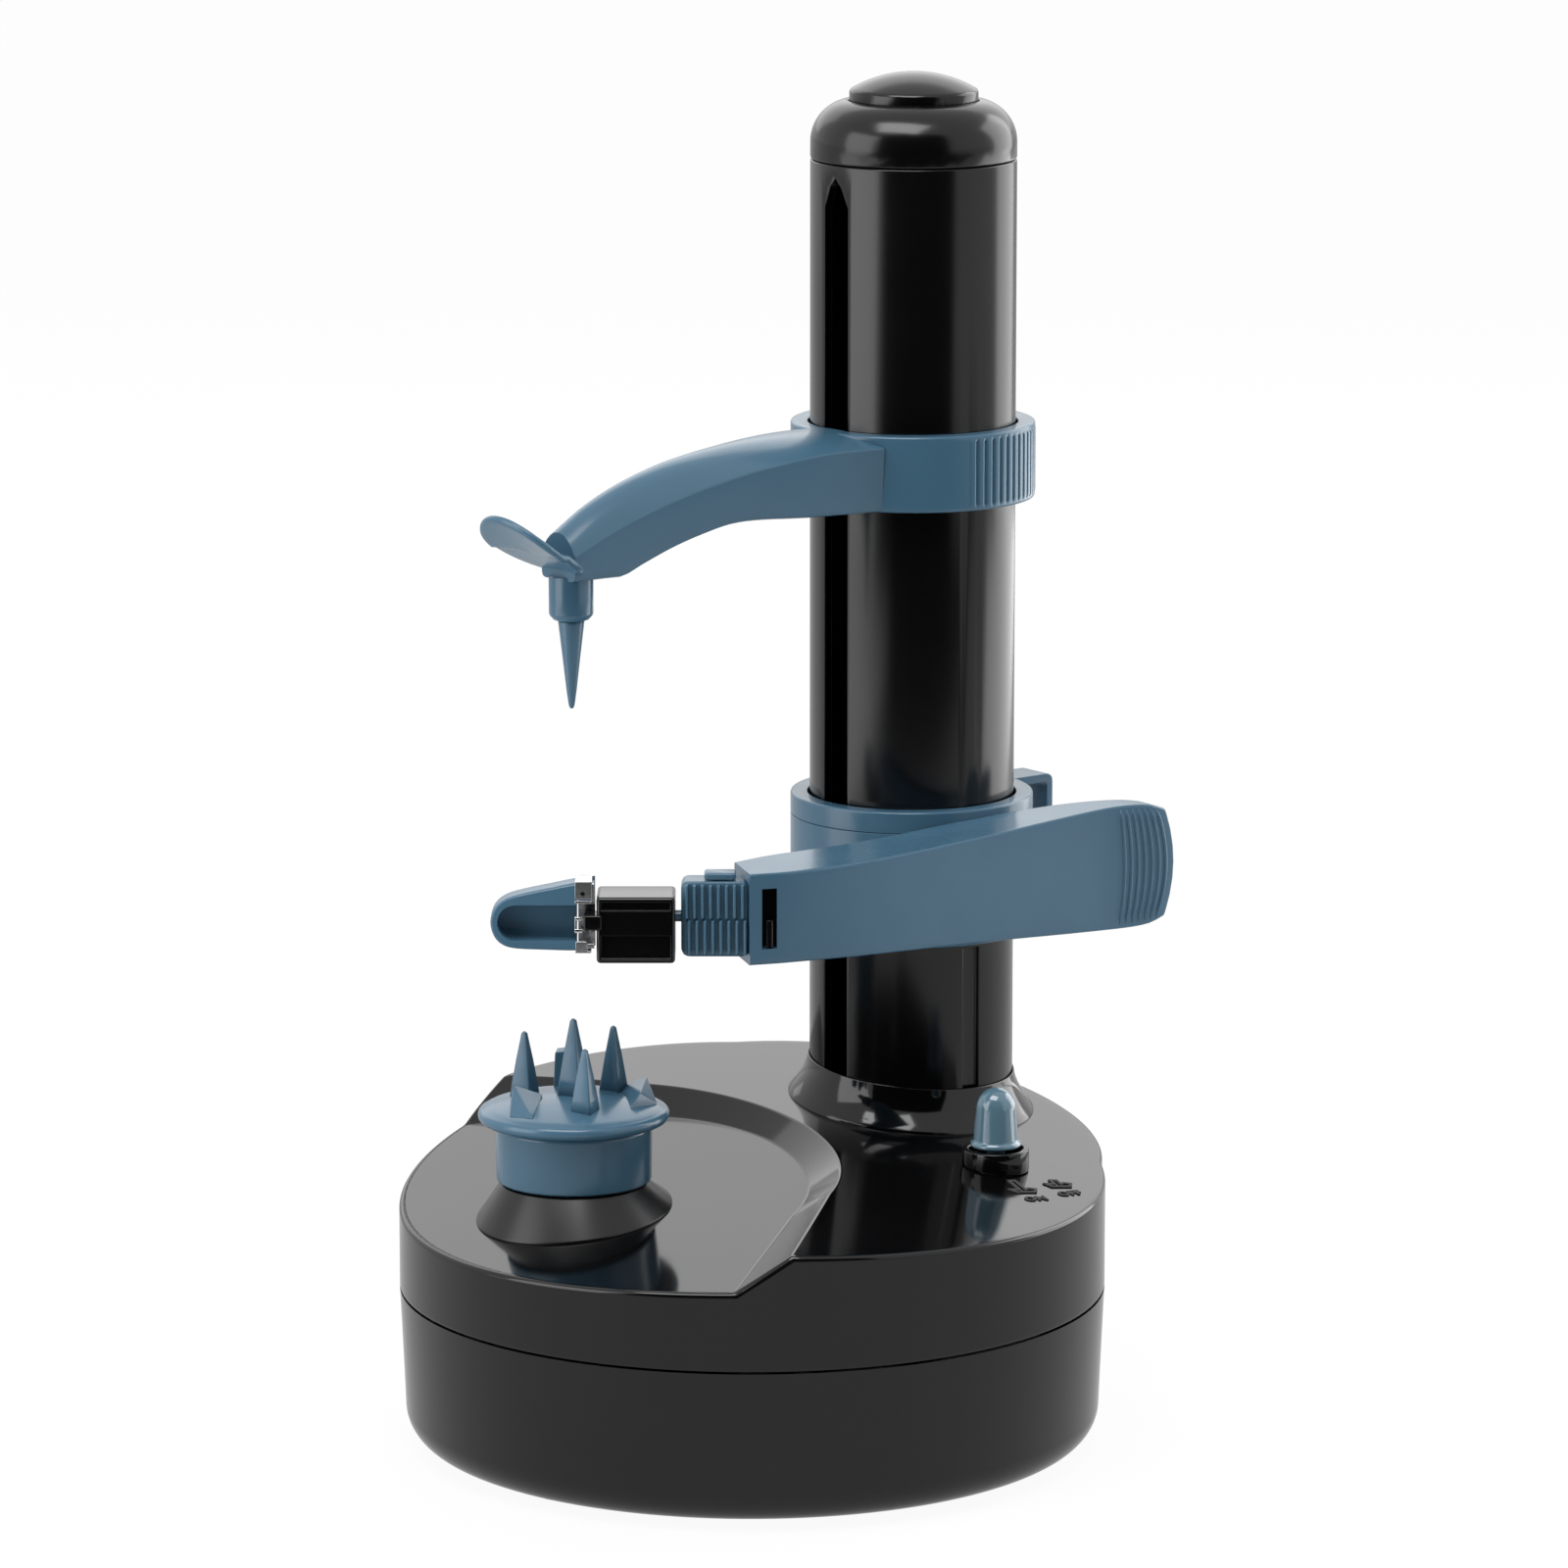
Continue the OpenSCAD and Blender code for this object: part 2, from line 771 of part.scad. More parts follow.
module gear_axles() {
    color("#b8bcc0")
    union() {
        at_places([first_at, second_at, right_at], floor_top - over)
            cylinder(h = plate_top - floor_top + over, r = axle_radius);
        at_places([left_at], box_top)
            cylinder(h = plate_top - box_top, r = axle_radius);
    }
}

module motor_can() {
    color("#a9adb0")
    at_places([motor_at], floor_top)
        difference() {
            union() {
                cylinder(h = layer_3 - floor_top - layer_gap * 3, r = motor_radius);
                cylinder(h = layer_3 - floor_top - layer_gap, r = motor_radius / 3);
            }
            translate([0, 0, over])
                cylinder(h = layer_3, r = motor_shaft + run_fit);
        }
}

module motor_pinion() {
    color("#e8e2cf")
    at_places([motor_at], 0)
        union() {
            translate([0, 0, layer_3])
                spur(pinion_teeth, gear_face, motor_shaft / 2, motor_phase);
            translate([0, 0, floor_top + over * 2])
                cylinder(h = layer_3 + gear_face - floor_top - over * 2, r = motor_shaft);
        }
}

module first_reduction_gear() {
    color("#efe9da")
    at_places([first_at], 0)
        union() {
            translate([0, 0, layer_3])
                spur(wheel_teeth, gear_face, axle_radius + run_fit, 0);
            translate([0, 0, layer_2 + layer_gap / 2])
                spur(pinion_teeth, layer_step - layer_gap / 2 + over / 2, axle_radius + run_fit, first_phase);
        }
}

module second_reduction_gear() {
    color("#efe9da")
    at_places([second_at], 0)
        union() {
            translate([0, 0, layer_2])
                spur(wheel_teeth, gear_face, axle_radius + run_fit, 0);
            translate([0, 0, layer_1])
                spur(pinion_teeth, layer_step + over / 2, axle_radius + run_fit, second_phase);
        }
}

module turntable_gear() {
    color("#efe9da")
    at_table(layer_1)
        spur(wheel_teeth, gear_face, spindle_radius, table_phase);
}

module left_idler_gear() {
    color("#efe9da")
    at_places([left_at], layer_1)
        spur(idler_teeth, gear_face, axle_radius + run_fit, left_phase);
}

module right_idler_gear() {
    color("#efe9da")
    at_places([right_at], layer_1)
        spur(idler_teeth, gear_face, axle_radius + run_fit, right_phase);
}

module screw_gear() {
    color("#efe9da")
    at_column(layer_1)
        spur(idler_teeth, gear_face, screw_radius - thread_depth, screw_phase);
}

drive_flat = spindle_radius * 0.62;

module turntable_spindle() {
    color("#b8bcc0")
    at_table(floor_top + clear)
        difference() {
            cylinder(h = disc_height - floor_top - clear - over, r = spindle_radius);
            translate([drive_flat, -spindle_radius, drum_height - floor_top - clear])
                cube([spindle_radius, spindle_radius * 2, disc_height]);
        }
}

module spindle_bush() {
    color("#c8a45a")
    at_table(plate_top)
        difference() {
            union() {
                cylinder(h = drum_height - plate_top - clear * 3, r = spindle_radius + shell_wall);
                cylinder(h = shell_wall, r = spindle_radius + shell_wall * 2);
            }
            translate([0, 0, -over])
                cylinder(h = deck_height, r = spindle_radius + run_fit);
        }
}

module holder_drum() {
    color("#46647a")
    at_table(0)
        difference() {
            union() {
                difference() {
                    translate([0, 0, drum_height])
                        cylinder(h = disc_height - drum_height, r = drum_radius);
                    translate([0, 0, drum_height - over])
                        cylinder(h = disc_height - drum_height - shell_wall + over,
                            r = drum_radius - shell_wall * 0.75);
                }
                translate([0, 0, drum_height + over * 2])
                    cylinder(h = disc_height - drum_height - over * 2, r = spindle_radius + shell_wall);
            }
            difference() {
                translate([0, 0, drum_height - over])
                    cylinder(h = disc_height - drum_height + over * 2, r = spindle_radius);
                translate([drive_flat, -spindle_radius, drum_height - over * 2])
                    cube([spindle_radius, spindle_radius * 2, disc_height]);
            }
        }
}

spike_twist = 20;

// Tall four-sided pyramid spike.
module spike(length, root) {
    translate([0, 0, -over])
        rotate([0, 0, spike_twist])
            cylinder(h = length + over, r1 = root, r2 = root / 12, $fn = 4);
}

module wedge_fin() {
    rotate([90, 0, 90])
        translate([0, 0, -fin_width / 2])
            linear_extrude(height = fin_width)
                polygon([[-fin_length / 2, -over], [fin_length / 2, -over],
                    [fin_length / 2, fin_height * 0.25], [-fin_length * 0.1, fin_height]]);
}

module spiked_disc() {
    dome_radius = (disc_radius * disc_radius + disc_rise * disc_rise) / (2 * disc_rise);
    rim_top = disc_height + disc_rim - over / 2;
    color("#5c788a")
    at_table(0)
        union() {
            translate([0, 0, disc_height])
                rotate_extrude() {
                    square([disc_radius - disc_rim / 3, disc_rim]);
                    square([disc_radius - disc_rim / 3, disc_rim * 0.7]);
                    translate([0, disc_rim / 3])
                        square([disc_radius, disc_rim / 3]);
                    translate([disc_radius - disc_rim / 3, disc_rim / 3])
                        circle(r = disc_rim / 3, $fn = 32);
                    translate([disc_radius - disc_rim / 3, disc_rim * 2 / 3])
                        circle(r = disc_rim / 3, $fn = 32);
                }
            intersection() {
                translate([0, 0, rim_top + disc_rise - dome_radius])
                    sphere(r = dome_radius, $fn = 128);
                translate([0, 0, rim_top - over])
                    cylinder(h = disc_rise + over * 2, r = disc_radius - disc_rim / 3);
            }
            translate([0, 0, rim_top + disc_rise])
                spike(spike_length, spike_root);
            for (index = [0 : 2]) {
                rotate([0, 0, spike_turn + index * 120])
                    translate([spike_circle, 0, rim_top + disc_rise * 0.65])
                        spike(side_spike_length, spike_root * 0.9);
                rotate([0, 0, spike_turn + 60 + index * 120])
                    translate([spike_circle * 1.1, 0, rim_top + disc_rise * 0.5])
                        wedge_fin();
            }
        }
}

drip_height = 9;

module drip_cone() {
    low = tray_height + table_y * tan(tray_slope) - drip_height * 0.64;
    color("#141416")
    difference() {
        intersection() {
            at_table(0)
                rotate([tray_slope, -tray_slope * 0.75, 0])
                    translate([0, 0, low])
                        cylinder(h = drip_height * 1.6, r1 = drip_radius + drip_height * 0.17,
                            r2 = drip_radius - drip_height * 0.9);
            at_table(seam_height)
                cylinder(h = drum_height - seam_height - clear * 1.2, r = base_radius);
        }
        tray_space(0);
        at_table(seam_height)
            cylinder(h = deck_height, r = spindle_radius + shell_wall + clear);
    }
}

module lead_screw() {
    color("#b8bcc0")
    at_column(0)
        union() {
            translate([0, 0, layer_1 - layer_gap])
                cylinder(h = screw_top - layer_1 + layer_gap, r = screw_radius - thread_depth);
            translate([0, 0, floor_top + clear])
                cylinder(h = layer_1, r = screw_radius / 2);
            for (ring = [0 : floor((screw_top - plate_top - thread_pitch * 10) / thread_pitch)])
                translate([0, 0, plate_top + thread_pitch * 8 + ring * thread_pitch])
                    rotate_extrude($fn = 32)
                        polygon([[over, -thread_pitch * 0.42], [screw_radius - thread_depth, -thread_pitch * 0.42],
                            [screw_radius, -thread_pitch * 0.15], [screw_radius, thread_pitch * 0.15],
                            [screw_radius - thread_depth, thread_pitch * 0.42], [over, thread_pitch * 0.42]]);
        }
}

module screw_bushes() {
    color("#c8a45a")
    at_column(0)
        difference() {
            union() {
                translate([0, 0, plate_low])
                    cylinder(h = plate_thick + bush_drop * 2, r = screw_radius + shell_wall - run_fit);
                translate([0, 0, cap_height - bush_drop])
                    cylinder(h = bush_length, r = column_radius - column_wall * 2 - seat);
            }
            translate([0, 0, plate_low - over])
                cylinder(h = far * 2, r = screw_radius - thread_depth + run_fit);
        }
}

// Outline of the guide slot seen along its direction.
module slot_outline(grow) {
    half = slot_width / 2 + grow;
    polygon([[-half, slot_low], [half, slot_low], [half, slot_high], [half / 2, slot_high + slot_point * 0.66],
        [0, slot_high + slot_point], [-half / 2, slot_high + slot_point * 0.66], [-half, slot_high]]);
}

module rail_cut(reach) {
    at_column(deck_height / 2)
        rotate([0, 0, rail_turn - 90])
            translate([reach - rail_depth, -rail_width / 2, 0])
                cube([column_radius, rail_width, rail_high - deck_height / 2]);
}

module column_tube() {
    color("#131315")
    difference() {
        at_column(plate_top)
            difference() {
                cylinder(h = cap_height - plate_top, r = column_radius);
                translate([0, 0, -over])
                    cylinder(h = cap_height - plate_top + over * 2, r = column_radius - column_wall);
            }
        at_column(0)
            rotate([0, 0, slot_turn + 90])
                rotate([90, 0, 0])
                    translate([0, 0, screw_radius])
                        linear_extrude(height = column_radius)
                            slot_outline(0);
        rail_cut(column_radius);
    }
}

foot_z = deck_height + column_y * tan(deck_slope) - (deck_crown - sqrt(deck_crown * deck_crown
    - (column_x - deck_crown_x) * (column_x - deck_crown_x)));
foot_sink = 0.9;

// Puts a shape on the sloping deck at the column.
module on_foot_slope() {
    at_column(foot_z)
        rotate([deck_slope, asin((column_x - deck_crown_x) / deck_crown), 0])
            translate([0, 0, -foot_sink])
                children();
}

module column_foot_ring() {
    color("#18181a")
    difference() {
        on_foot_slope()
            union() {
                cylinder(h = foot_sink, r = foot_ring_radius);
                translate([0, 0, foot_sink])
                    cylinder(h = foot_ring_height, r1 = foot_ring_radius, r2 = column_radius + clear);
            }
        at_column(seam_height)
            cylinder(h = far, r = column_radius + seat);
        rail_cut(foot_ring_radius - rail_depth * 2);
    }
}

module column_cap() {
    top = cap_side + cap_rounding;
    color("#131315")
    at_column(cap_height + seat)
        difference() {
            rotate_extrude()
                difference() {
                    union() {
                        square([column_radius, cap_side]);
                        square([column_radius - cap_rounding, top]);
                        intersection() {
                            translate([column_radius - cap_rounding, cap_side])
                                circle(r = cap_rounding);
                            square([column_radius, top]);
                        }
                        translate([0, -cap_side])
                            square([column_radius - column_wall - seat, cap_side * 2]);
                    }
                    translate([0, -cap_side * 2])
                        square([column_radius - column_wall * 2, cap_side * 2 + cap_rounding / 3]);
                }
            translate([0, 0, top - plug_wall])
                cylinder(h = cap_rounding, r = plug_radius + seat / 2);
        }
}

module cap_plug() {
    dome_radius = (plug_radius * plug_radius + plug_rise * plug_rise) / (2 * plug_rise);
    low = cap_height + seat + cap_side + cap_rounding - plug_wall;
    color("#1a1a1c")
    at_column(low)
        union() {
            cylinder(h = plug_wall * 2, r = plug_radius - seat / 2);
            intersection() {
                translate([0, 0, plug_wall * 2 + plug_rise - dome_radius])
                    sphere(r = dome_radius, $fn = 128);
                cylinder(h = plug_wall * 2 + plug_rise + over, r = plug_radius - seat / 2);
            }
        }
}

arm_root = collar_radius * 0.84;
rib_start = -64;

module top_collar() {
    top = collar_height + collar_length;
    color("#5c788a")
    at_column(0)
        difference() {
            union() {
                translate([0, 0, collar_height])
                    cylinder(h = collar_length, r = collar_radius);
                for (index = [0 : rib_count - 1])
                    rotate([0, 0, rib_start + index * rib_step])
                        translate([collar_radius - over, -rib_width / 2, collar_height + rib_depth * 2])
                            cube([over + rib_depth, rib_width, collar_length - rib_depth * 5]);
            }
            translate([0, 0, collar_height - over])
                cylinder(h = collar_length + over * 2, r = bore_radius);
            rotate([0, 0, slot_turn])
                translate([arm_root, -arm_root_half - seat, collar_height - over])
                    cube([collar_radius, (arm_root_half + seat) * 2, collar_length + over * 2]);
        }
}

// Cross-section of the top arm: flat sides, a ridge on top.
function arm_section(reach, half, low, side, ridge, ridge_half) = [
    [reach, half, low], [reach, half, side], [reach, ridge_half, ridge],
    [reach, -ridge_half, ridge], [reach, -half, side], [reach, -half, low]];

// Skin over a row of six-sided sections.
module skin(sections) {
    points = [for (section = sections) each section];
    last = len(sections) - 1;
    polyhedron(points = points, faces = concat(
        [[0, 1, 2, 3, 4, 5]],
        [for (row = [0 : last - 1]) for (side = [0 : 5])
            [row * 6 + side, (row + 1) * 6 + side, (row + 1) * 6 + (side + 1) % 6]],
        [for (row = [0 : last - 1]) for (side = [0 : 5])
            [row * 6 + side, (row + 1) * 6 + (side + 1) % 6, row * 6 + (side + 1) % 6]],
        [[last * 6 + 5, last * 6 + 4, last * 6 + 3, last * 6 + 2, last * 6 + 1, last * 6]]));
}

arm_places = [0, 0.2, 0.42, 0.62, 0.8, 1];
arm_width_shares = [1, 0.78, 0.48, 0.24, 0.1, 0];
arm_top_shares = [0, 0, 0.08, 0.24, 0.52, 1];
arm_side_shares = [0.1, 0.16, 0.28, 0.5, 0.84, 1.24];
arm_low_shares = [0.08, 0.06, 0.08, 0.2, 0.46, 0.6];
arm_ridge_shares = [0.9, 0.7, 0.5, 0.4, 0.32, 0.3];

module top_arm() {
    top = collar_height + collar_length;
    length = food_gap + arm_end - arm_root;
    low = collar_height + over * 0.5;
    sections = [for (index = [0 : 5])
        let (half = arm_tip_half + (arm_root_half - arm_tip_half) * arm_width_shares[index])
        arm_section(arm_root + length * arm_places[index], half,
            low - arm_drop * arm_low_shares[index] + over * (index == 5 ? 0.5 : 0),
            top - arm_drop * arm_side_shares[index],
            top - arm_drop * arm_top_shares[index], half * arm_ridge_shares[index])];
    color("#5c788a")
    at_column(0)
        rotate([0, 0, slot_turn])
            difference() {
                union() {
                    skin(sections);
                    translate([column_radius * 0.8, -slot_width / 2 + seat, collar_height + over])
                        cube([collar_radius - column_radius * 0.8, slot_width - seat * 2, collar_length * 0.7]);
                }
                difference() {
                    translate([0, 0, collar_height - over])
                        cylinder(h = collar_length + over * 2, r = bore_radius);
                    translate([0, -slot_width / 2 + seat, collar_height - over * 2])
                        cube([column_radius * 2, slot_width - seat * 2, collar_length + over * 4]);
                }
                translate([food_gap, 0, collar_height - arm_drop - over])
                    cylinder(h = collar_length * 0.4, r = socket_radius * 0.6);
            }
}

arm_end = socket_radius * 0.8;
pad_height = collar_height - over;
pad_dish = 0.9;
dish_radius = pad_radius * 2.6;

// Thumb pad on the arm's end face, hollowed for a thumb.
module thumb_pad() {
    color("#5c788a")
    at_table(0)
        rotate([0, 0, slot_turn])
            difference() {
                translate([pad_reach, 0, pad_height])
                    rotate([0, -pad_tilt, 0])
                        difference() {
                            union() {
                                cylinder(h = pad_thickness, r = pad_radius);
                                translate([-pad_radius, -pad_radius * 0.35, -pad_thickness * 1.3])
                                    cube([pad_radius * 1.15, pad_radius * 0.7, pad_thickness * 2]);
                            }
                            translate([0, 0, pad_thickness + dish_radius - pad_dish])
                                sphere(r = dish_radius);
                        }
                translate([arm_end - far, -far / 2, 0])
                    cube([far, far, far * 2]);
                cylinder(h = socket_height + socket_length + over, r = socket_radius + seat);
            }
}

socket_chamfer = 1;
socket_length = 9;

module spike_socket() {
    color("#5c788a")
    at_table(socket_height)
        difference() {
            union() {
                cylinder(h = socket_chamfer, r1 = socket_radius - socket_chamfer, r2 = socket_radius);
                translate([0, 0, socket_chamfer])
                    cylinder(h = socket_length - socket_chamfer, r = socket_radius);
            }
            translate([0, 0, -over])
                cylinder(h = socket_length * 0.7 + over, r = top_spike_root * 0.7 + run_fit);
        }
}

module top_spike() {
    color("#5c788a")
    at_table(socket_height - seat)
        union() {
            translate([0, 0, -top_spike_length + over])
                cylinder(h = top_spike_length - over, r1 = top_spike_root / 7, r2 = top_spike_root);
            cylinder(h = socket_length * 0.62, r = top_spike_root * 0.7);
        }
}

tab_width = 9;
tab_wall = 2.6;
tab_side = 1.6;

module carriage_sleeve() {
    color("#5c788a")
    at_column(0)
        difference() {
            union() {
                translate([0, 0, carriage_height])
                    cylinder(h = carriage_length - over, r = sleeve_radius);
                translate([0, 0, flange_low])
                    cylinder(h = flange_height, r = collar_radius);
                rotate([0, 0, tab_turn])
                    translate([sleeve_radius + over / 2, -tab_width / 2, flange_low])
                        cube([tab_reach - sleeve_radius, tab_width, flange_height]);
                rotate([0, 0, tab_turn])
                    translate([tab_reach - tab_wall, -tab_width / 2, carriage_height + over * 3])
                        cube([tab_wall, tab_width, carriage_length - over * 3]);
                rotate([0, 0, slot_turn])
                    translate([nut_radius - over, -slot_width / 2 + seat, lever_middle - nut_length / 2 + over])
                        cube([sleeve_radius - nut_radius, slot_width - seat * 2, nut_length - over * 2]);
            }
            difference() {
                translate([0, 0, carriage_height - over])
                    cylinder(h = carriage_length + over * 2, r = bore_radius);
                rotate([0, 0, slot_turn])
                    translate([0, -slot_width / 2 + seat, lever_middle - nut_length / 2 + over])
                        cube([column_radius * 2, slot_width - seat * 2, nut_length - over * 2]);
            }
            translate([0, 0, carriage_height])
                cylinder(h = carriage_length, r = nut_radius + run_fit / 4);
            rotate([0, 0, tab_turn])
                translate([collar_radius + tab_side, -tab_width / 2 + tab_side, flange_low - over])
                    cube([tab_reach - collar_radius - tab_side - tab_wall, tab_width - tab_side * 2,
                        flange_height + over * 2]);
        }
}

module carriage_ring() {
    color("#4f6b7e")
    at_column(carriage_height)
        difference() {
            cylinder(h = ring_height, r = collar_radius);
            translate([0, 0, -over])
                cylinder(h = ring_height + over * 2, r = sleeve_radius);
        }
}

module drive_nut() {
    color("#e8e2cf")
    at_column(lever_middle - nut_length / 2)
        difference() {
            cylinder(h = nut_length, r = nut_radius);
            translate([0, 0, -over])
                cylinder(h = nut_length + over * 2, r = screw_radius + run_fit);
        }
}

// Plan of the lever, drawn around the column axis.
module lever_plan() {
    back = lever_front - lever_thickness;
    front = lever_front + tail_curl;
    rotate(lever_turn)
        polygon([[-bend_reach, -lever_front], [tail_reach - curl_length, -lever_front],
            [tail_reach - curl_length * 0.27, -front],
            [tail_reach - tail_thickness * 0.4, -front - tail_thickness * 0.47], [tail_reach, -front],
            [tail_reach - tail_thickness * 1.53, -front + tail_thickness * 1.67],
            [tail_reach - curl_length * 0.9, -back - lever_thickness * 0.46],
            [curl_length * 0.67, -back - lever_thickness * 0.05],
            [curl_length * 0.13, -back + lever_thickness * 0.18], [-bend_reach * 1.14, -back]]);
}

// length of the curl of the tail, and where the lever turns to the barrel
curl_length = 15;
bend_reach = 14;
barrel_left = barrel_x - column_x;
barrel_front = head_y - grip_thickness / 2 - column_y;
barrel_back = barrel_front + lever_thickness * 1.38;
barrel_corner = 3.4;

module lever_barrel_plan() {
    back = lever_front - lever_thickness;
    start = [-bend_reach * cos(lever_turn) + lever_front * sin(lever_turn),
        -bend_reach * sin(lever_turn) - lever_front * cos(lever_turn)];
    finish = [-bend_reach * 0.71 * cos(lever_turn) + back * sin(lever_turn),
        -bend_reach * 0.71 * sin(lever_turn) - back * cos(lever_turn)];
    polygon([start, finish, [-bend_reach, barrel_back + bend_reach],
        [barrel_left + barrel_corner, barrel_back + barrel_corner], [barrel_left, barrel_back],
        [barrel_left, barrel_front + barrel_corner * 0.45], [barrel_left + barrel_corner * 0.45, barrel_front]]);
}

// spring round the sleeve, the grip's tongue in the barrel and the window on its latch
spring_wire = 0.6;
spring_pitch = 1.1;
spring_room = 1.6;
spring_pocket = 4.4;
tongue_length = 9;
tongue_thickness = 5.2;
tongue_depth = 10;
tongue_slack = 0.4;
pocket_length = 12;
window_reach = 4.4;
window_width = 3.2;
window_depth = 12.8;
tail_rib_radius = 0.55;

module peeling_lever() {
    color("#6f8b9c")
    difference() {
        union() {
            intersection() {
                at_column(lever_middle - tail_depth)
                    linear_extrude(height = tail_depth * 2)
                        union() {
                            lever_plan();
                            lever_barrel_plan();
                        }
                lever_side();
            }
            at_column(lever_low)
                cylinder(h = lever_high - lever_low, r = collar_radius);
            at_column(0)
                rotate([0, 0, lever_turn])
                    for (index = [0 : tail_rib_count - 1])
                        translate([tail_reach - curl_length * 0.27 - index * tail_rib_step,
                            -lever_front - tail_curl * (1 - index * tail_rib_step / curl_length / 0.73),
                            lever_middle - tail_depth * 0.42])
                            cylinder(h = tail_depth * 0.84, r = tail_rib_radius, $fn = 24);
        }
        at_column(lever_low - over)
            cylinder(h = lever_high - lever_low + over * 2, r = sleeve_radius + run_fit);
        at_column(lever_low - over)
            cylinder(h = over + spring_pocket, r = sleeve_radius + spring_room);
        at_column(flange_low - clear)
            cylinder(h = carriage_length, r = collar_radius + clear);
        at_column(carriage_height - carriage_length)
            cylinder(h = carriage_length + ring_height + clear, r = collar_radius + clear);
        translate([barrel_x - over, head_y - tongue_thickness / 2 - tongue_slack,
            lever_middle - tongue_depth / 2 - tongue_slack])
            cube([pocket_length + over, tongue_thickness + tongue_slack * 2, tongue_depth + tongue_slack * 2]);
        translate([barrel_x + window_reach, head_y - grip_thickness, lever_middle - window_depth / 2])
            cube([window_width, grip_thickness, window_depth]);
    }
}

// Side outline of the lever, flaring from the barrel to the tail.
module lever_side() {
    reach = tail_reach + column_radius;
    low = barrel_depth / 2;
    high = tail_depth / 2;
    at_column(lever_middle)
        rotate([0, 0, lever_turn])
            rotate([90, 0, 0])
                translate([0, 0, -far])
                    linear_extrude(height = far * 2)
                        polygon([[-reach, -low], [-bend_reach * 2, -low], [tail_reach - curl_length, -high],
                            [tail_reach - tail_thickness * 0.67, -high], [tail_reach + over, -high + tail_thickness],
                            [tail_reach + over, high - tail_thickness], [tail_reach - tail_thickness * 0.67, high],
                            [tail_reach - curl_length, high], [-bend_reach * 2, low], [-reach, low]]);
}

module lever_spring() {
    color("#b8bcc0")
    at_column(carriage_height + ring_height + spring_wire + seat)
        for (ring = [0 : 2])
            translate([0, 0, ring * spring_pitch])
                rotate_extrude()
                    translate([sleeve_radius + spring_wire + seat * 1.5, 0])
                        circle(r = spring_wire, $fn = 24);
}

grip_rib_step = 1.8;
grip_rib_depth = 0.7;
shaft_bite = 5.5;
latch_left = -8;
latch_width = 4.8;
latch_foot = 2;
latch_foot_length = 3;
latch_thickness = 1.5;

module blade_grip() {
    left = grip_right - grip_length;
    color("#5c788a")
    translate([0, head_y, lever_middle])
        difference() {
            union() {
                translate([left, -grip_thickness / 2, -grip_depth / 2])
                    cube([grip_length - clear, grip_thickness, grip_depth]);
                translate([grip_right - over, -tongue_thickness / 2, -tongue_depth / 2])
                    cube([tongue_length, tongue_thickness, tongue_depth]);
                translate([barrel_x + window_reach + window_width / 4, -tongue_thickness * 1.42, -tongue_depth / 5])
                    cube([window_width * 0.56, tongue_thickness, tongue_depth * 0.4]);
            }
            translate([latch_left - seat, -latch_width / 4 - seat, grip_depth / 2 - latch_foot - seat])
                cube([latch_foot_length + seat * 2, latch_width / 2 + seat * 2, latch_foot + over]);
            for (index = [0 : 6])
                for (side = [-1, 1])
                    translate([left + grip_rib_step * (index + 0.9 + side * 0.1), -grip_thickness / 2 - over,
                        side > 0 ? 0 : -grip_depth / 2 - over])
                        cube([grip_rib_step * 0.44, over + grip_rib_depth, grip_depth / 2 + over]);
            translate([left - over, 0, 0])
                rotate([0, 90, 0])
                    cylinder(h = over + shaft_bite * 1.27, r = head_shaft_radius + run_fit);
        }
}

module grip_latch() {
    color("#5c788a")
    translate([0, head_y, lever_middle])
        union() {
            translate([latch_left - latch_foot_length * 0.6, -latch_width / 2, grip_depth / 2])
                cube([latch_foot_length * 2.2, latch_width, latch_thickness]);
            translate([latch_left, -latch_width / 4, grip_depth / 2 - latch_foot])
                cube([latch_foot_length, latch_width / 2, latch_foot + latch_thickness / 2]);
        }
}

module head_shaft() {
    color("#4f6b7e")
    translate([block_right - block_length * 0.6, head_y, lever_middle])
        rotate([0, 90, 0])
            cylinder(h = block_length * 0.6 - block_right + grip_right - grip_length + shaft_bite,
                r = head_shaft_radius);
}

bar_length = 2.7;
bar_depth = 4;
panel_edge = 0.8;
panel_low = 2.4;

module swivel_block() {
    left = block_right - block_length;
    color("#101012")
    translate([0, head_y, lever_middle])
        difference() {
            union() {
                translate([left, -block_thickness / 2, -block_depth / 2])
                    cube([block_length, block_thickness, block_depth]);
                translate([left - bar_length, -block_thickness / 2 + blade_thickness, -bar_depth / 2])
                    cube([bar_length + over, guard_thickness + clear - blade_thickness, bar_depth]);
            }
            for (low = [panel_low, panel_edge - block_depth / 2])
                translate([left + panel_edge, -block_thickness / 2 - over, low])
                    cube([block_length - panel_edge * 2, over + panel_edge,
                        block_depth / 2 - panel_low - panel_edge]);
            translate([left + block_length * 0.4, 0, 0])
                rotate([0, 90, 0])
                    cylinder(h = block_length, r = head_shaft_radius);
        }
}

guard_wall = 1.4;

// Blade guard shape: a round nose and a tapering body.
module guard_form(shrink, height) {
    nose = guard_depth * 0.34 - shrink;
    left = guard_left + guard_depth * 0.34;
    top = guard_depth * 0.58 - shrink * 1.6;
    low = shrink - guard_depth * 0.42;
    end = guard_right + blade_gap - clear;
    union() {
        translate([left, 0, 0])
            cylinder(h = height, r = nose);
        linear_extrude(height = height)
            polygon([[left - nose * 0.3, nose * 0.86], [guard_right - blade_gap / 3, top], [end, top], [end, low],
                [left + nose * 0.8, low], [left - nose * 0.3, -nose * 0.8]]);
    }
}

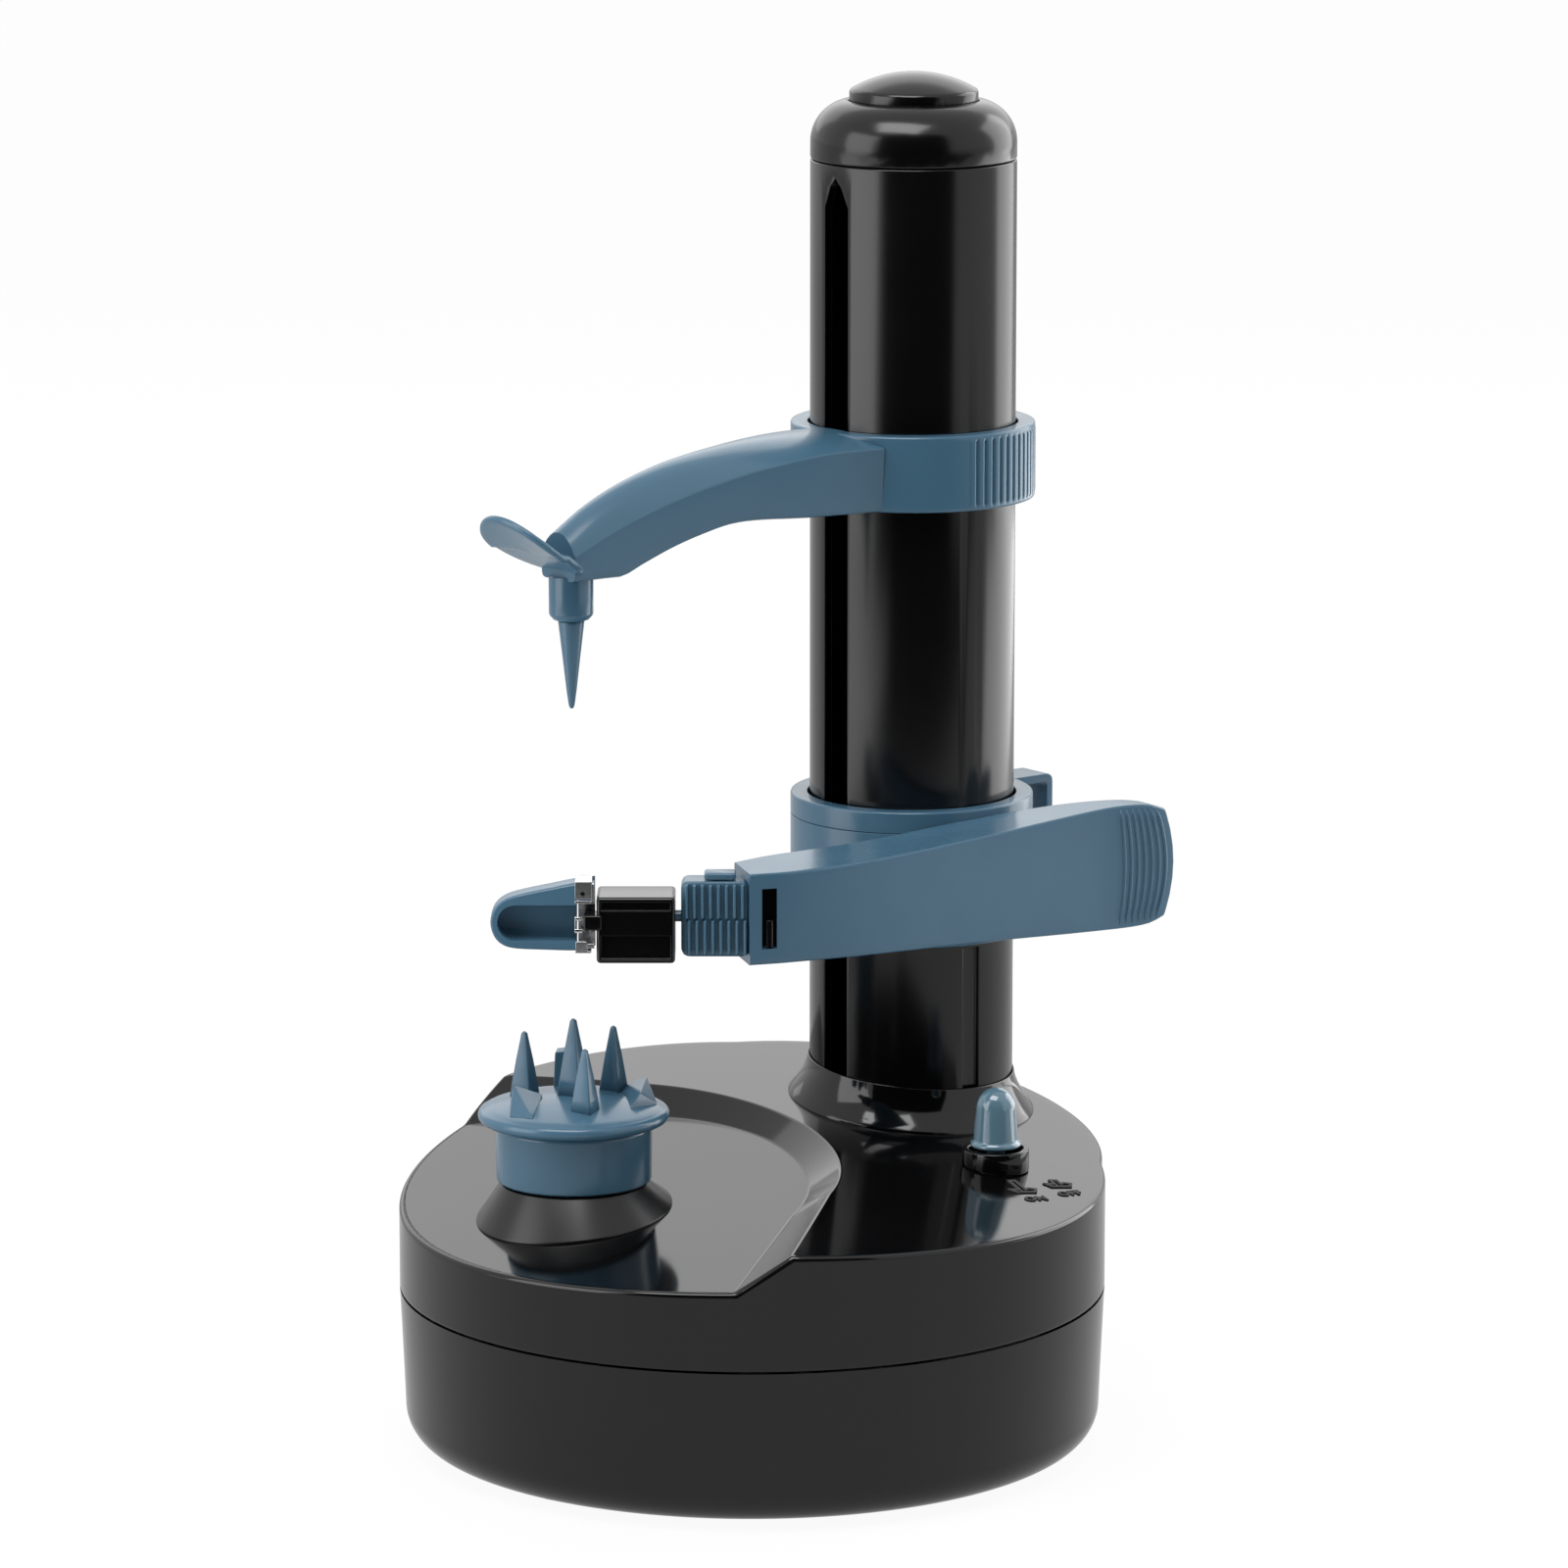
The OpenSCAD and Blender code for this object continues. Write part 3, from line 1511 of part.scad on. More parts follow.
module blade_guard() {
    color("#6f8b9c")
    translate([0, head_y - block_thickness / 2 + guard_thickness, lever_middle])
        rotate([90, 0, 0])
            difference() {
                guard_form(0, guard_thickness);
                translate([0, 0, guard_wall])
                    intersection() {
                        guard_form(guard_wall, guard_thickness);
                        translate([guard_left, -guard_depth / 2 - over, 0])
                            cube([guard_right - guard_left + clear, guard_depth * 0.74 + over, guard_thickness]);
                    }
                translate([guard_right + blade_thickness, -bar_depth * 0.7, -over])
                    cube([far, bar_depth * 1.4, guard_thickness + over * 2]);
            }
}

clip_hole = 0.5;

module peeling_blade() {
    front = head_y - block_thickness / 2;
    top = guard_depth * 0.58;
    low = -guard_depth * 0.42;
    width = blade_gap - seat;
    color("#c8ccd0")
    translate([guard_right, 0, lever_middle])
        difference() {
            union() {
                translate([-seat, front + guard_thickness + clear, low])
                    cube([width, blade_thickness, guard_depth]);
                translate([-seat, front - blade_thickness, top - blade_gap])
                    cube([width, blade_thickness, blade_gap + blade_thickness]);
                for (height = [top, low - blade_thickness])
                    translate([-seat, front - blade_thickness, height])
                        cube([width, guard_thickness + clear + blade_thickness * 2, blade_thickness]);
                translate([-seat, front - blade_thickness, low - blade_thickness])
                    cube([width, blade_thickness, blade_gap / 2 + blade_thickness]);
            }
            translate([blade_gap * 0.42, front + over, top - blade_gap * 0.45])
                rotate([90, 0, 0])
                    cylinder(h = over * 3, r = clip_hole, $fn = 24);
        }
}

button_deck = deck_height + button_y * tan(deck_slope) - (deck_crown - sqrt(deck_crown * deck_crown
    - (button_x - deck_crown_x) * (button_x - deck_crown_x)));
button_low = button_deck + button_lift;
button_top = button_low + button_length;
flange_thickness = 1.6;
stem_radius = 2;
stem_length = 16;

module power_button() {
    color("#4a9fd8")
    translate([button_x, button_y, 0])
        union() {
            translate([0, 0, button_top - button_radius])
                sphere(r = button_radius);
            translate([0, 0, button_low])
                cylinder(h = button_top - button_radius - button_low, r = button_radius);
            translate([0, 0, button_low])
                cylinder(h = flange_thickness, r = button_flange);
            translate([0, 0, button_low - stem_length])
                cylinder(h = stem_length + over, r = stem_radius);
        }
}

socket_sink = 3;

module button_socket() {
    color("#101012")
    translate([button_x, button_y, 0])
        difference() {
            translate([0, 0, button_deck - socket_sink])
                cylinder(h = button_lift - clear + socket_sink, r = button_socket_radius);
            translate([-button_x, -button_y, 0])
                deck_space(-seat);
            translate([0, 0, button_deck - socket_sink * 2])
                cylinder(h = button_length * 2, r = button_flange + clear);
        }
}

switch_length = 14;
switch_width = 10;
switch_floor = 5.4;

module power_switch() {
    color("#2e3a30")
    translate([button_x, button_y, 0])
        difference() {
            translate([-switch_length / 2, -switch_width / 2, plate_top])
                cube([switch_length, switch_width, button_low - stem_length * 0.75 - plate_top]);
            translate([0, 0, button_low - stem_length - switch_floor])
                cylinder(h = stem_length * 2, r = stem_radius + run_fit);
        }
}

lower_shell();
upper_shell();
rubber_feet();
base_screws();
battery_door();
battery_cells();
battery_contacts();
gear_plate();
plate_screws();
gear_axles();
motor_can();
motor_pinion();
first_reduction_gear();
second_reduction_gear();
turntable_gear();
turntable_spindle();
spindle_bush();
holder_drum();
spiked_disc();
drip_cone();
left_idler_gear();
right_idler_gear();
screw_gear();
lead_screw();
screw_bushes();
column_tube();
column_foot_ring();
column_cap();
cap_plug();
top_collar();
top_arm();
thumb_pad();
spike_socket();
top_spike();
carriage_sleeve();
carriage_ring();
drive_nut();
peeling_lever();
lever_spring();
blade_grip();
grip_latch();
swivel_block();
head_shaft();
blade_guard();
peeling_blade();
power_button();
button_socket();
power_switch();
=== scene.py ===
import bpy
import bmesh
import json
from math import cos, degrees, hypot, pi, radians, sin, sqrt, tan, tau
from mathutils import Matrix, Vector


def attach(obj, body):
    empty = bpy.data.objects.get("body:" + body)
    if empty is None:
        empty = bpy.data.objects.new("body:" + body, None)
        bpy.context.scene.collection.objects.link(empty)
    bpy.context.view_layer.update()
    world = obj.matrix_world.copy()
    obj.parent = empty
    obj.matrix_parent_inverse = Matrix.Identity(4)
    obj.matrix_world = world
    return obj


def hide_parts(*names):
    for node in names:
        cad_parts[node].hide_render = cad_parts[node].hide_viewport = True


# Battery potato peeler on a white table: black gloss body, slate blue arms and spikes.
# Metres in Blender, millimetres in the tables below. Z up, the front of the base towards -Y.
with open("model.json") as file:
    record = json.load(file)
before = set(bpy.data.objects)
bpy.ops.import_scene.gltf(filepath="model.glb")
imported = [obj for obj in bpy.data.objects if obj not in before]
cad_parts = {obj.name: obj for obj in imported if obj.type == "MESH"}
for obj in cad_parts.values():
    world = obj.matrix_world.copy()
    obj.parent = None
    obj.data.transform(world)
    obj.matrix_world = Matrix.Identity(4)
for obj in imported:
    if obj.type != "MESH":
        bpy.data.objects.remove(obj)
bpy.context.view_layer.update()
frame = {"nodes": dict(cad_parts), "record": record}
nodes = frame["nodes"]
mm = 0.001
print("frame loaded:", len(nodes), "nodes")

axes = {   # the upright axes that most pieces turn about
    "food": (-37.3, -20.4),
    "column": (34.3, 40.4),
    "back": (12.94, 15.25),     # middle of the smaller circle of the base
    "button": (51.6, -4),
}
cameraPlace = {
    "location": (0.00676, -1.65, 0.466),
    "tilt": 78.9,
    "lens": 183.4,
    "sensor": 36,
    "clip": (0.05, 20),
}


def placed(name, data):
    # a new object in the scene
    obj = bpy.data.objects.new(name, data)
    bpy.context.scene.collection.objects.link(obj)
    return obj


def picked(table, keys):
    return [table[key] for key in keys.split()]


def makeCamera():
    camData = bpy.data.cameras.new("peelerCamera")
    camData.lens = cameraPlace["lens"]
    camData.sensor_width = cameraPlace["sensor"]
    camData.clip_start, camData.clip_end = cameraPlace["clip"]
    camObject = placed("peelerCamera", camData)
    camObject.location = cameraPlace["location"]
    camObject.rotation_euler = (radians(cameraPlace["tilt"]), 0, 0)
    bpy.context.scene.camera = camObject


def setInputs(node, values):
    for socket, value in values.items():
        node.inputs[socket].default_value = value


def addNode(tree, kind, values=None, operation=None):
    node = tree.nodes.new("ShaderNode" + kind)
    if operation:
        node.operation = operation
    setInputs(node, values or {})
    return node


def link(tree, *pairs):
    for source, target in pairs:
        tree.links.new(source, target)


def newMaterial(name):
    mat = bpy.data.materials.new(name)
    mat.use_nodes = True
    return mat, mat.node_tree, mat.node_tree.nodes["Principled BSDF"]


studio = {
    "worldFill": 0.78,   # plain light from all round
    "worldGloss": 0.8,   # what polished plastic sees
    "tableColour": (0.88, 0.88, 0.88, 1),
    "tableGloss": 0.6,   # what polished plastic sees of the table
    "tableWhite": 0.94,    # share of plain white in the table, the rest takes the shadow
    "tableHalf": 7,
    "softboxes": [   # name, place, aim, size, power
        ("leftBox", (-1.25, -0.58, 0.56), (0, 0, 0.13), (0.95, 1.1), 7.4),
        ("leftLow", (-0.95, -0.42, 0.01), (-0.95, -0.42, 1), (1.1, 0.8), 4.4),
        ("rightBox", (1.12, 0.66, 0.56), (0.03, 0.04, 0.13), (1, 1.1), 9),
        ("rightLow", (0.98, 0.58, 0.01), (0.98, 0.58, 1), (1.1, 1.2), 10),
        ("topBox", (-0.2, -0.5, 1.3), (0, 0, 0.1), (0.9, 0.6), 9.5),
        ("backBox", (0.05, 1.3, 0.86), (0, 0, 0.08), (2.6, 1), 6.5),
    ],
    "darkCard": (1.7, 2.2, -1.95),   # half width, height and place of the black card
    "rugEdge": -0.43,   # where the dark part of the floor begins
    "rugHeight": 0.002,
}


def makeWorld():
    # white to the camera, dimmer as light and in the gloss
    world = bpy.data.worlds.new("paleRoom")
    bpy.context.scene.world = world
    world.use_nodes = True
    tree = world.node_tree
    tree.nodes.clear()
    out = addNode(tree, "OutputWorld")
    fill, seen, gloss = [addNode(tree, "Background", {"Color": (1, 1, 1, 1), "Strength": strength})
                         for strength in (studio["worldFill"], 1, studio["worldGloss"])]
    path = addNode(tree, "LightPath").outputs
    polished, plain = addNode(tree, "MixShader"), addNode(tree, "MixShader")
    either = addNode(tree, "Math", operation="MAXIMUM")
    link(tree,
         (path["Is Camera Ray"], either.inputs[0]),
         (path["Is Transmission Ray"], either.inputs[1]),
         (path["Is Glossy Ray"], polished.inputs[0]),
         (fill.outputs[0], polished.inputs[1]), (gloss.outputs[0], polished.inputs[2]),
         (either.outputs[0], plain.inputs[0]),
         (polished.outputs[0], plain.inputs[1]), (seen.outputs[0], plain.inputs[2]),
         (plain.outputs[0], out.inputs[0]))


def makeLamps():
    for name, place, aim, size, power in studio["softboxes"]:
        data = bpy.data.lights.new(name, "AREA")
        data.shape = "RECTANGLE"
        data.size, data.size_y = size
        data.energy = power
        lamp = placed(name, data)
        lamp.location = place
        lamp.rotation_mode = "QUATERNION"
        lamp.rotation_quaternion = (Vector(aim) - Vector(place)).to_track_quat("-Z", "Y")
    bpy.context.scene.view_settings.view_transform = "Standard"


def flatStage(name, low, high, mat):
    # a flat sheet between two opposite corners
    (x0, y0, z0), (x1, y1, z1) = low, high
    mesh = bpy.data.meshes.new(name)
    mesh.from_pydata([(x0, y0, z0), (x1, y0, z0), (x1, y1, z1), (x0, y1, z1)], [], [(0, 1, 2, 3)])
    mesh.materials.append(mat)
    sheet = placed(name, mesh)
    return sheet


def makeTable():
    # white table that keeps the shadow, seen white by the camera and by polished faces
    mat, tree, shader = newMaterial("whiteTable")
    setInputs(shader, {"Base Color": studio["tableColour"], "Roughness": 0.7, "Specular IOR Level": 0.2})
    glow, mix = addNode(tree, "Emission"), addNode(tree, "MixShader")
    path = addNode(tree, "LightPath").outputs
    share = addNode(tree, "Math", operation="MAXIMUM")
    keep = addNode(tree, "Math", {1: studio["tableWhite"]}, "MULTIPLY")
    toGloss = addNode(tree, "Math", {1: studio["tableGloss"] - 1, 2: 1}, "MULTIPLY_ADD")
    link(tree,
         (path["Is Glossy Ray"], toGloss.inputs[0]), (toGloss.outputs[0], glow.inputs["Strength"]),
         (path["Is Camera Ray"], share.inputs[0]), (path["Is Glossy Ray"], share.inputs[1]),
         (share.outputs[0], keep.inputs[0]), (keep.outputs[0], mix.inputs[0]),
         (shader.outputs[0], mix.inputs[1]), (glow.outputs[0], mix.inputs[2]),
         (mix.outputs[0], tree.nodes["Material Output"].inputs[0]))
    half = studio["tableHalf"]
    flatStage("paleFloor", (-half, -half, 0), (half, half, 0), mat)


def makeDarkRoom():
    # dark room behind the camera, which the upright gloss mirrors as black
    mat, tree, shader = newMaterial("darkRoom")
    setInputs(shader, {"Base Color": (0.01, 0.01, 0.01, 1), "Roughness": 1, "Specular IOR Level": 0})
    wide, high, back = studio["darkCard"]
    near, rise = studio["rugEdge"], studio["rugHeight"]
    wall = flatStage("darkWall", (-wide, back, -0.01), (wide, back, high), mat)
    rug = flatStage("darkRug", (-wide, back, rise), (wide, near, rise), mat)
    wall.visible_camera = rug.visible_camera = False


makeCamera()
makeWorld()
makeLamps()
makeTable()
makeDarkRoom()
print("camera, lights and table made")

grain = {
    "drift": (22, 4), "wipe": (60, 5), "brushLines": (3, 4),   # scale and detail of each noise
    "driftSpan": (0.35, 0.65),
    "brushStretch": (30, 900, 900),
    "plasticDepth": 0.0002, "steelDepth": 0.0001, "steelBump": 0.08,
}


def noise(tree, scale, detail, place):
    node = addNode(tree, "TexNoise", {"Scale": scale, "Detail": detail})
    link(tree, (place, node.inputs["Vector"]))
    return node.outputs[0]


def roughBetween(tree, source, low, high, shader):
    spread = addNode(tree, "MapRange", {"To Min": low, "To Max": high})
    link(tree, (source, spread.inputs["Value"]), (spread.outputs[0], shader.inputs["Roughness"]))


def bumpFrom(tree, source, strength, distance, shader):
    bump = addNode(tree, "Bump", {"Strength": strength, "Distance": distance})
    link(tree, (source, bump.inputs["Height"]), (bump.outputs[0], shader.inputs["Normal"]))


def mouldedPlastic(name, dark, light, rough, bump, fine):
    # colour drift, handling marks and the fine skin of a moulding
    mat, tree, shader = newMaterial(name)
    place = addNode(tree, "TexCoord").outputs["Object"]
    ramp = addNode(tree, "ValToRGB")
    for element, position, colour in zip(ramp.color_ramp.elements, grain["driftSpan"], (dark, light)):
        element.position = position
        element.color = (*colour, 1)
    link(tree, (noise(tree, *grain["drift"], place), ramp.inputs[0]),
         (ramp.outputs[0], shader.inputs["Base Color"]))
    roughBetween(tree, noise(tree, *grain["wipe"], place), *rough, shader)
    bumpFrom(tree, noise(tree, fine, 3, place), bump, grain["plasticDepth"], shader)
    setInputs(shader, {"IOR": 1.5})
    return mat


def brushedMetal(name, colour, rough):
    mat, tree, shader = newMaterial(name)
    stretch = addNode(tree, "Mapping", {"Scale": grain["brushStretch"]})
    link(tree, (addNode(tree, "TexCoord").outputs["Object"], stretch.inputs["Vector"]))
    lines = noise(tree, *grain["brushLines"], stretch.outputs[0])
    roughBetween(tree, lines, rough * 0.7, rough * 1.3, shader)
    bumpFrom(tree, lines, grain["steelBump"], grain["steelDepth"], shader)
    setInputs(shader, {"Base Color": (*colour, 1), "Metallic": 1})
    return mat


black = (0.0022, 0.0022, 0.0025), (0.0034, 0.0034, 0.0038)
plastics = {   # darker and lighter colour, roughness, bump, grain
    "black_gloss": ("blackGloss", *black, (0.06, 0.12), 0.02, 260),
    "black_satin": ("blackSatin", *black, (0.26, 0.34), 0.02, 260),
    "black_soft": ("blackSoft", *black, (0.17, 0.22), 0.02, 260),
    "slate_blue": ("slateBlue", (0.052, 0.124, 0.19), (0.062, 0.142, 0.214), (0.16, 0.25), 0.05, 900),
    "clear_blue": ("clearBlue", (0.1, 0.19, 0.25), (0.12, 0.22, 0.29), (0.1, 0.16), 0.02, 400),
    "gear_plastic": ("gearPlastic", (0.74, 0.7, 0.6), (0.8, 0.76, 0.67), (0.42, 0.55), 0.1, 700),
    "chassis_plastic": ("chassisPlastic", (0.55, 0.53, 0.47), (0.62, 0.6, 0.54), (0.45, 0.58), 0.1, 500),
    "foot_rubber": ("footRubber", (0.035, 0.035, 0.036), (0.05, 0.05, 0.05), (0.7, 0.85), 0.3, 1200),
    "cell_jacket": ("cellJacket", (0.1, 0.16, 0.06), (0.14, 0.2, 0.08), (0.25, 0.35), 0.04, 300),
}
metals = {   # colour and roughness
    "blade_steel": ("bladeSteel", (0.78, 0.79, 0.8), 0.22),
    "zinc_steel": ("zincSteel", (0.56, 0.57, 0.58), 0.34),
    "brass_bush": ("bronzeBush", (0.62, 0.44, 0.2), 0.38),
    "contact_metal": ("contactMetal", (0.72, 0.7, 0.62), 0.3),
}
finishes = {slotName: mouldedPlastic(*values) for slotName, values in plastics.items()}
finishes.update({slotName: brushedMetal(*values) for slotName, values in metals.items()})
setInputs(finishes["clear_blue"].node_tree.nodes["Principled BSDF"], {"Coat Weight": 0.8})
slotOfNode = {part["node"]: part["material_slot"] for part in frame["record"]["subparts"]}
for name, node in nodes.items():
    node.data.materials.clear()
    node.data.materials.append(finishes[slotOfNode[name]])
for name in ("column_tube", "column_cap", "cap_plug"):
    nodes[name].data.materials[0] = finishes["black_soft"]
print("finishes made")

merge = {"points": 0.000015, "slivers": 0.000005, "cad": 0.00001}   # distances in metres


def rawMesh(name, shape, weld=False):
    # mesh in metres from points in mm and faces, with the faces turned outwards
    points, faces = shape
    mesh = bpy.data.meshes.new(name)
    mesh.from_pydata([(x * mm, y * mm, z * mm) for x, y, z in points], [], faces)
    work = bmesh.new()
    work.from_mesh(mesh)
    if weld:
        bmesh.ops.remove_doubles(work, verts=work.verts, dist=merge["points"])
        bmesh.ops.dissolve_degenerate(work, edges=work.edges, dist=merge["slivers"])
    bmesh.ops.recalc_face_normals(work, faces=work.faces)
    work.to_mesh(mesh)
    work.free()
    return mesh


def shadeSmooth(mesh):
    for face in mesh.polygons:
        face.use_smooth = True


def addPiece(name, shape, body, slotName, stands=(), round=0, angle=28):
    # a welded, smooth-shaded piece from points in mm, riding on a body of the frame
    mesh = rawMesh(name, shape, weld=True)
    shadeSmooth(mesh)
    mesh.materials.append(finishes[slotName])
    piece = placed(name, mesh)
    finishPiece(piece, round, angle)
    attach(piece, body)
    if stands:
        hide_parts(*stands)
    return piece


def addBevel(obj, radius, angle):
    bevel = obj.modifiers.new("edges", "BEVEL")
    bevel.width = radius * mm
    bevel.segments = 3
    bevel.limit_method = "ANGLE"
    bevel.angle_limit = radians(angle)
    return bevel


def finishPiece(piece, round, angle=28):
    # rounded edges, then shading that keeps the flat faces flat
    if round:
        addBevel(piece, round, angle).use_clamp_overlap = True
    weight = piece.modifiers.new("flatShade", "WEIGHTED_NORMAL")
    weight.weight = 70
    weight.keep_sharp = False


def skin(rings, closed=False):
    # faces over a row of rings with equal counts; closed joins the last ring to the first
    count = len(rings[0])
    points = [point for ring in rings for point in ring]
    faces = []
    for row in range(len(rings) if closed else len(rings) - 1):
        here, after = row * count, (row + 1) % len(rings) * count
        for index in range(count):
            beside = (index + 1) % count
            faces.append((here + index, here + beside, after + beside, after + index))
    if not closed:
        faces.append(tuple(reversed(range(count))))
        faces.append(tuple((len(rings) - 1) * count + index for index in range(count)))
    return points, faces


def gather(shapes):
    # one pair of points and faces from several
    points, faces = [], []
    for more, sides in shapes:
        faces += [tuple(index + len(points) for index in face) for face in sides]
        points += more
    return points, faces


def onTurn(middle, turn, along, across=0):
    # spot in plan, given along and across a direction
    return (middle[0] + along * cos(turn) - across * sin(turn),
            middle[1] + along * sin(turn) + across * cos(turn))


def circle(middle, radius, steps):
    return [onTurn(middle, tau * step / steps, radius) for step in range(steps)]


def turned(profile, axis, steps=96):
    # rings of a turned form from (radius, height) pairs
    return [[(x, y, height) for x, y in circle(axis, radius, steps)] for radius, height in profile]


def turnedRing(profile, axis, steps=96):
    return skin(turned(profile, axis, steps), closed=True)


def boxRings(low, high):
    (x0, y0, z0), (x1, y1, z1) = low, high
    return [[(x0, y0, z), (x1, y0, z), (x1, y1, z), (x0, y1, z)] for z in (z0, z1)]


def softCorners(outline, radii, steps=4):
    # the same outline with each corner turned into a short curve
    out = []
    for index, (here, size) in enumerate(zip(outline, radii)):
        if size <= 0:
            out.append(tuple(here))
            continue
        corner = Vector(here)
        before = Vector(outline[index - 1]) - corner
        after = Vector(outline[(index + 1) % len(outline)]) - corner
        half = before.angle(after) / 2
        reach = min(size / max(tan(half), 0.05), before.length * 0.48, after.length * 0.48)
        start = corner + before.normalized() * reach
        end = corner + after.normalized() * reach
        for step in range(steps + 1):
            share = step / steps
            out.append(tuple(start.lerp(corner, share).lerp(corner.lerp(end, share), share)))
    return out


def curveThrough(table, at):
    # smooth value between (place, value) pairs
    places, values = zip(*table)
    last = len(table) - 1
    at = min(max(at, places[0]), places[last])
    def slope(index):
        left, right = max(index - 1, 0), min(index + 1, last)
        return (values[right] - values[left]) / (places[right] - places[left])
    index = max(i for i in range(last) if places[i] <= at)
    span = places[index + 1] - places[index]
    share = (at - places[index]) / span
    square, cube = share * share, share * share * share
    return ((2 * cube - 3 * square + 1) * values[index] + (cube - 2 * square + share) * span * slope(index)
            + (3 * square - 2 * cube) * values[index + 1] + (cube - square) * span * slope(index + 1))


def pathThrough(points, steps):
    # evenly stepped smooth path through points of any size
    lengths = [0]
    for before, after in zip(points, points[1:]):
        lengths.append(lengths[-1] + (Vector(after) - Vector(before)).length)
    tables = [list(zip(lengths, line)) for line in zip(*points)]
    return [tuple(curveThrough(table, lengths[-1] * step / steps) for table in tables)
            for step in range(steps + 1)]


def bakeShape(piece):
    # makes what the modifiers show the piece's own mesh
    bpy.context.view_layer.update()
    shaped = bpy.data.meshes.new_from_object(piece.evaluated_get(bpy.context.evaluated_depsgraph_get()))
    piece.modifiers.clear()
    piece.data = shaped
    return shaped


def carve(piece, *cutters):
    # cuts solids out of a piece and rounds its edges again
    round, angle = 0, 28
    for mod in piece.modifiers:
        if mod.type == "BEVEL":
            round, angle = mod.width / mm, degrees(mod.angle_limit)
    piece.modifiers.clear()
    for cutter in cutters:
        cut = piece.modifiers.new("cut", "BOOLEAN")
        cut.operation = "DIFFERENCE"
        cut.object = cutter
        cut.solver = "EXACT"
    shaped = bakeShape(piece)
    shaped.name = piece.name
    for cutter in cutters:
        bpy.data.objects.remove(cutter)
    shadeSmooth(shaped)
    finishPiece(piece, round, angle)


def carveRounded(piece, cutters):
    # rounds the outer edges first, then cuts the grooves with a finer rounding
    bakeShape(piece)
    finishPiece(piece, 0.25, 50)
    carve(piece, *cutters)


def cutterFrom(rings):
    return placed("cutter", rawMesh("cutter", skin(rings)))


def boxCutter(low, high):
    return cutterFrom(boxRings(low, high))


edgeRounding = {   # CAD node: radius of its edges in mm
    "column_tube": 0.35, "column_cap": 0.5, "cap_plug": 0.5,
    "grip_latch": 0.7, "button_socket": 0.3,
}


def softenEdges(obj, radius):
    weld = obj.modifiers.new("weld", "WELD")
    weld.merge_threshold = merge["cad"]
    flat = obj.modifiers.new("flatFaces", "DECIMATE")
    flat.decimate_type = "DISSOLVE"
    flat.angle_limit = radians(0.3)
    addBevel(obj, radius, 28).harden_normals = True
    shadeSmooth(obj.data)


for name, radius in edgeRounding.items():
    softenEdges(nodes[name], radius)
print("edges softened")

shell = {
    "radius": 75, "backRadius": 62, "seam": 34.55, "edge": 0.9, "thick": 2.3,
    "rays": 400, "crease": 0.45, "start": 6,
    "deck": (64.5, 4, 700, -22),    # height, slope, crown radius and the middle of the crown
    "tray": (59.2, 6.3, 500, 8),
    "wallTurns": (-5.7, 73.6), "wallReach": 59, "coneReach": 59.3, "lean": 1.5,
    "floorShares": (0, 0.3, 0.5, 0.65, 0.8, 0.9, 0.96, 1),
    "quarters": (0.25, 0.5, 0.75, 1),
    "deckShares": (0.04, 0.15, 0.3, 0.45, 0.6, 0.75, 0.88, 0.96, 1),
    "sideShares": (0.97, 0.6, 0.3, 0.02, 0),
}


def crowned(x, y, form):
    height, slope, crown, middle = form
    slope = radians(slope)
    return (height - crown + sqrt(crown ** 2 - (x - middle) ** 2)) / cos(slope) + y * tan(slope)


def deckAt(x, y):
    return crowned(x, y, shell["deck"])


def trayAt(x, y):
    return crowned(x, y, shell["tray"])


def wallAt(x, y):
    # height of the tray's wall: a cone about the food axis between two flat faces
    dx, dy = x - axes["food"][0], y - axes["food"][1]
    height = shell["deck"][0] + (hypot(dx, dy) - shell["coneReach"]) / shell["lean"]
    for turn, side in zip(shell["wallTurns"], (-1, 1)):
        turn = radians(turn)
        across = dy * cos(turn) - dx * sin(turn)
        if across * side > 0:
            along = dx * cos(turn) + dy * sin(turn)
            height = min(height, shell["deck"][0] + (along - shell["wallReach"]) / shell["lean"])
    return height


def topAt(x, y):
    return min(deckAt(x, y), max(trayAt(x, y), wallAt(x, y)))


def onRay(turn, reach):
    return onTurn(axes["food"], turn, reach)


def rimReach(turn, shrink):
    # how far a ray from the food axis runs to the edge of the base
    best = 0
    for middle, radius in (((0, 0), shell["radius"]), (axes["back"], shell["backRadius"])):
        ax, ay = axes["food"][0] - middle[0], axes["food"][1] - middle[1]
        along = ax * cos(turn) + ay * sin(turn)
        inside = along ** 2 - (ax ** 2 + ay ** 2) + (radius - shrink) ** 2
        if inside > 0:
            best = max(best, -along + sqrt(inside))
    return best


def halved(low, high, rounds, goesOn):
    # narrows a span round the place where goesOn stops being true
    for step in range(rounds):
        middle = (low + high) / 2
        if goesOn(middle):
            low = middle
        else:
            high = middle
    return low, high


def meetReach(turn, limit, ground):
    # reach at which the wall of the tray meets the ground form, or the limit
    def below(reach):
        return wallAt(*onRay(turn, reach)) < ground(*onRay(turn, reach))
    if below(limit):
        return limit
    return sum(halved(12, limit, 30, below)) / 2


def cornerTurns(ground):
    # turns at which the wall's line runs out over the edge of the base
    def gap(turn):
        x, y = onRay(turn, rimReach(turn, 0))
        return wallAt(x, y) - ground(x, y)
    found = []
    steps = 720
    for step in range(steps):
        low, high = tau * step / steps, tau * (step + 1) / steps
        if gap(low) * gap(high) < 0:
            found.append(halved(low, high, 25, lambda turn: gap(low) * gap(turn) > 0)[0])
    return found


def spaced(start, span, shares):
    return [start + span * share for share in shares]


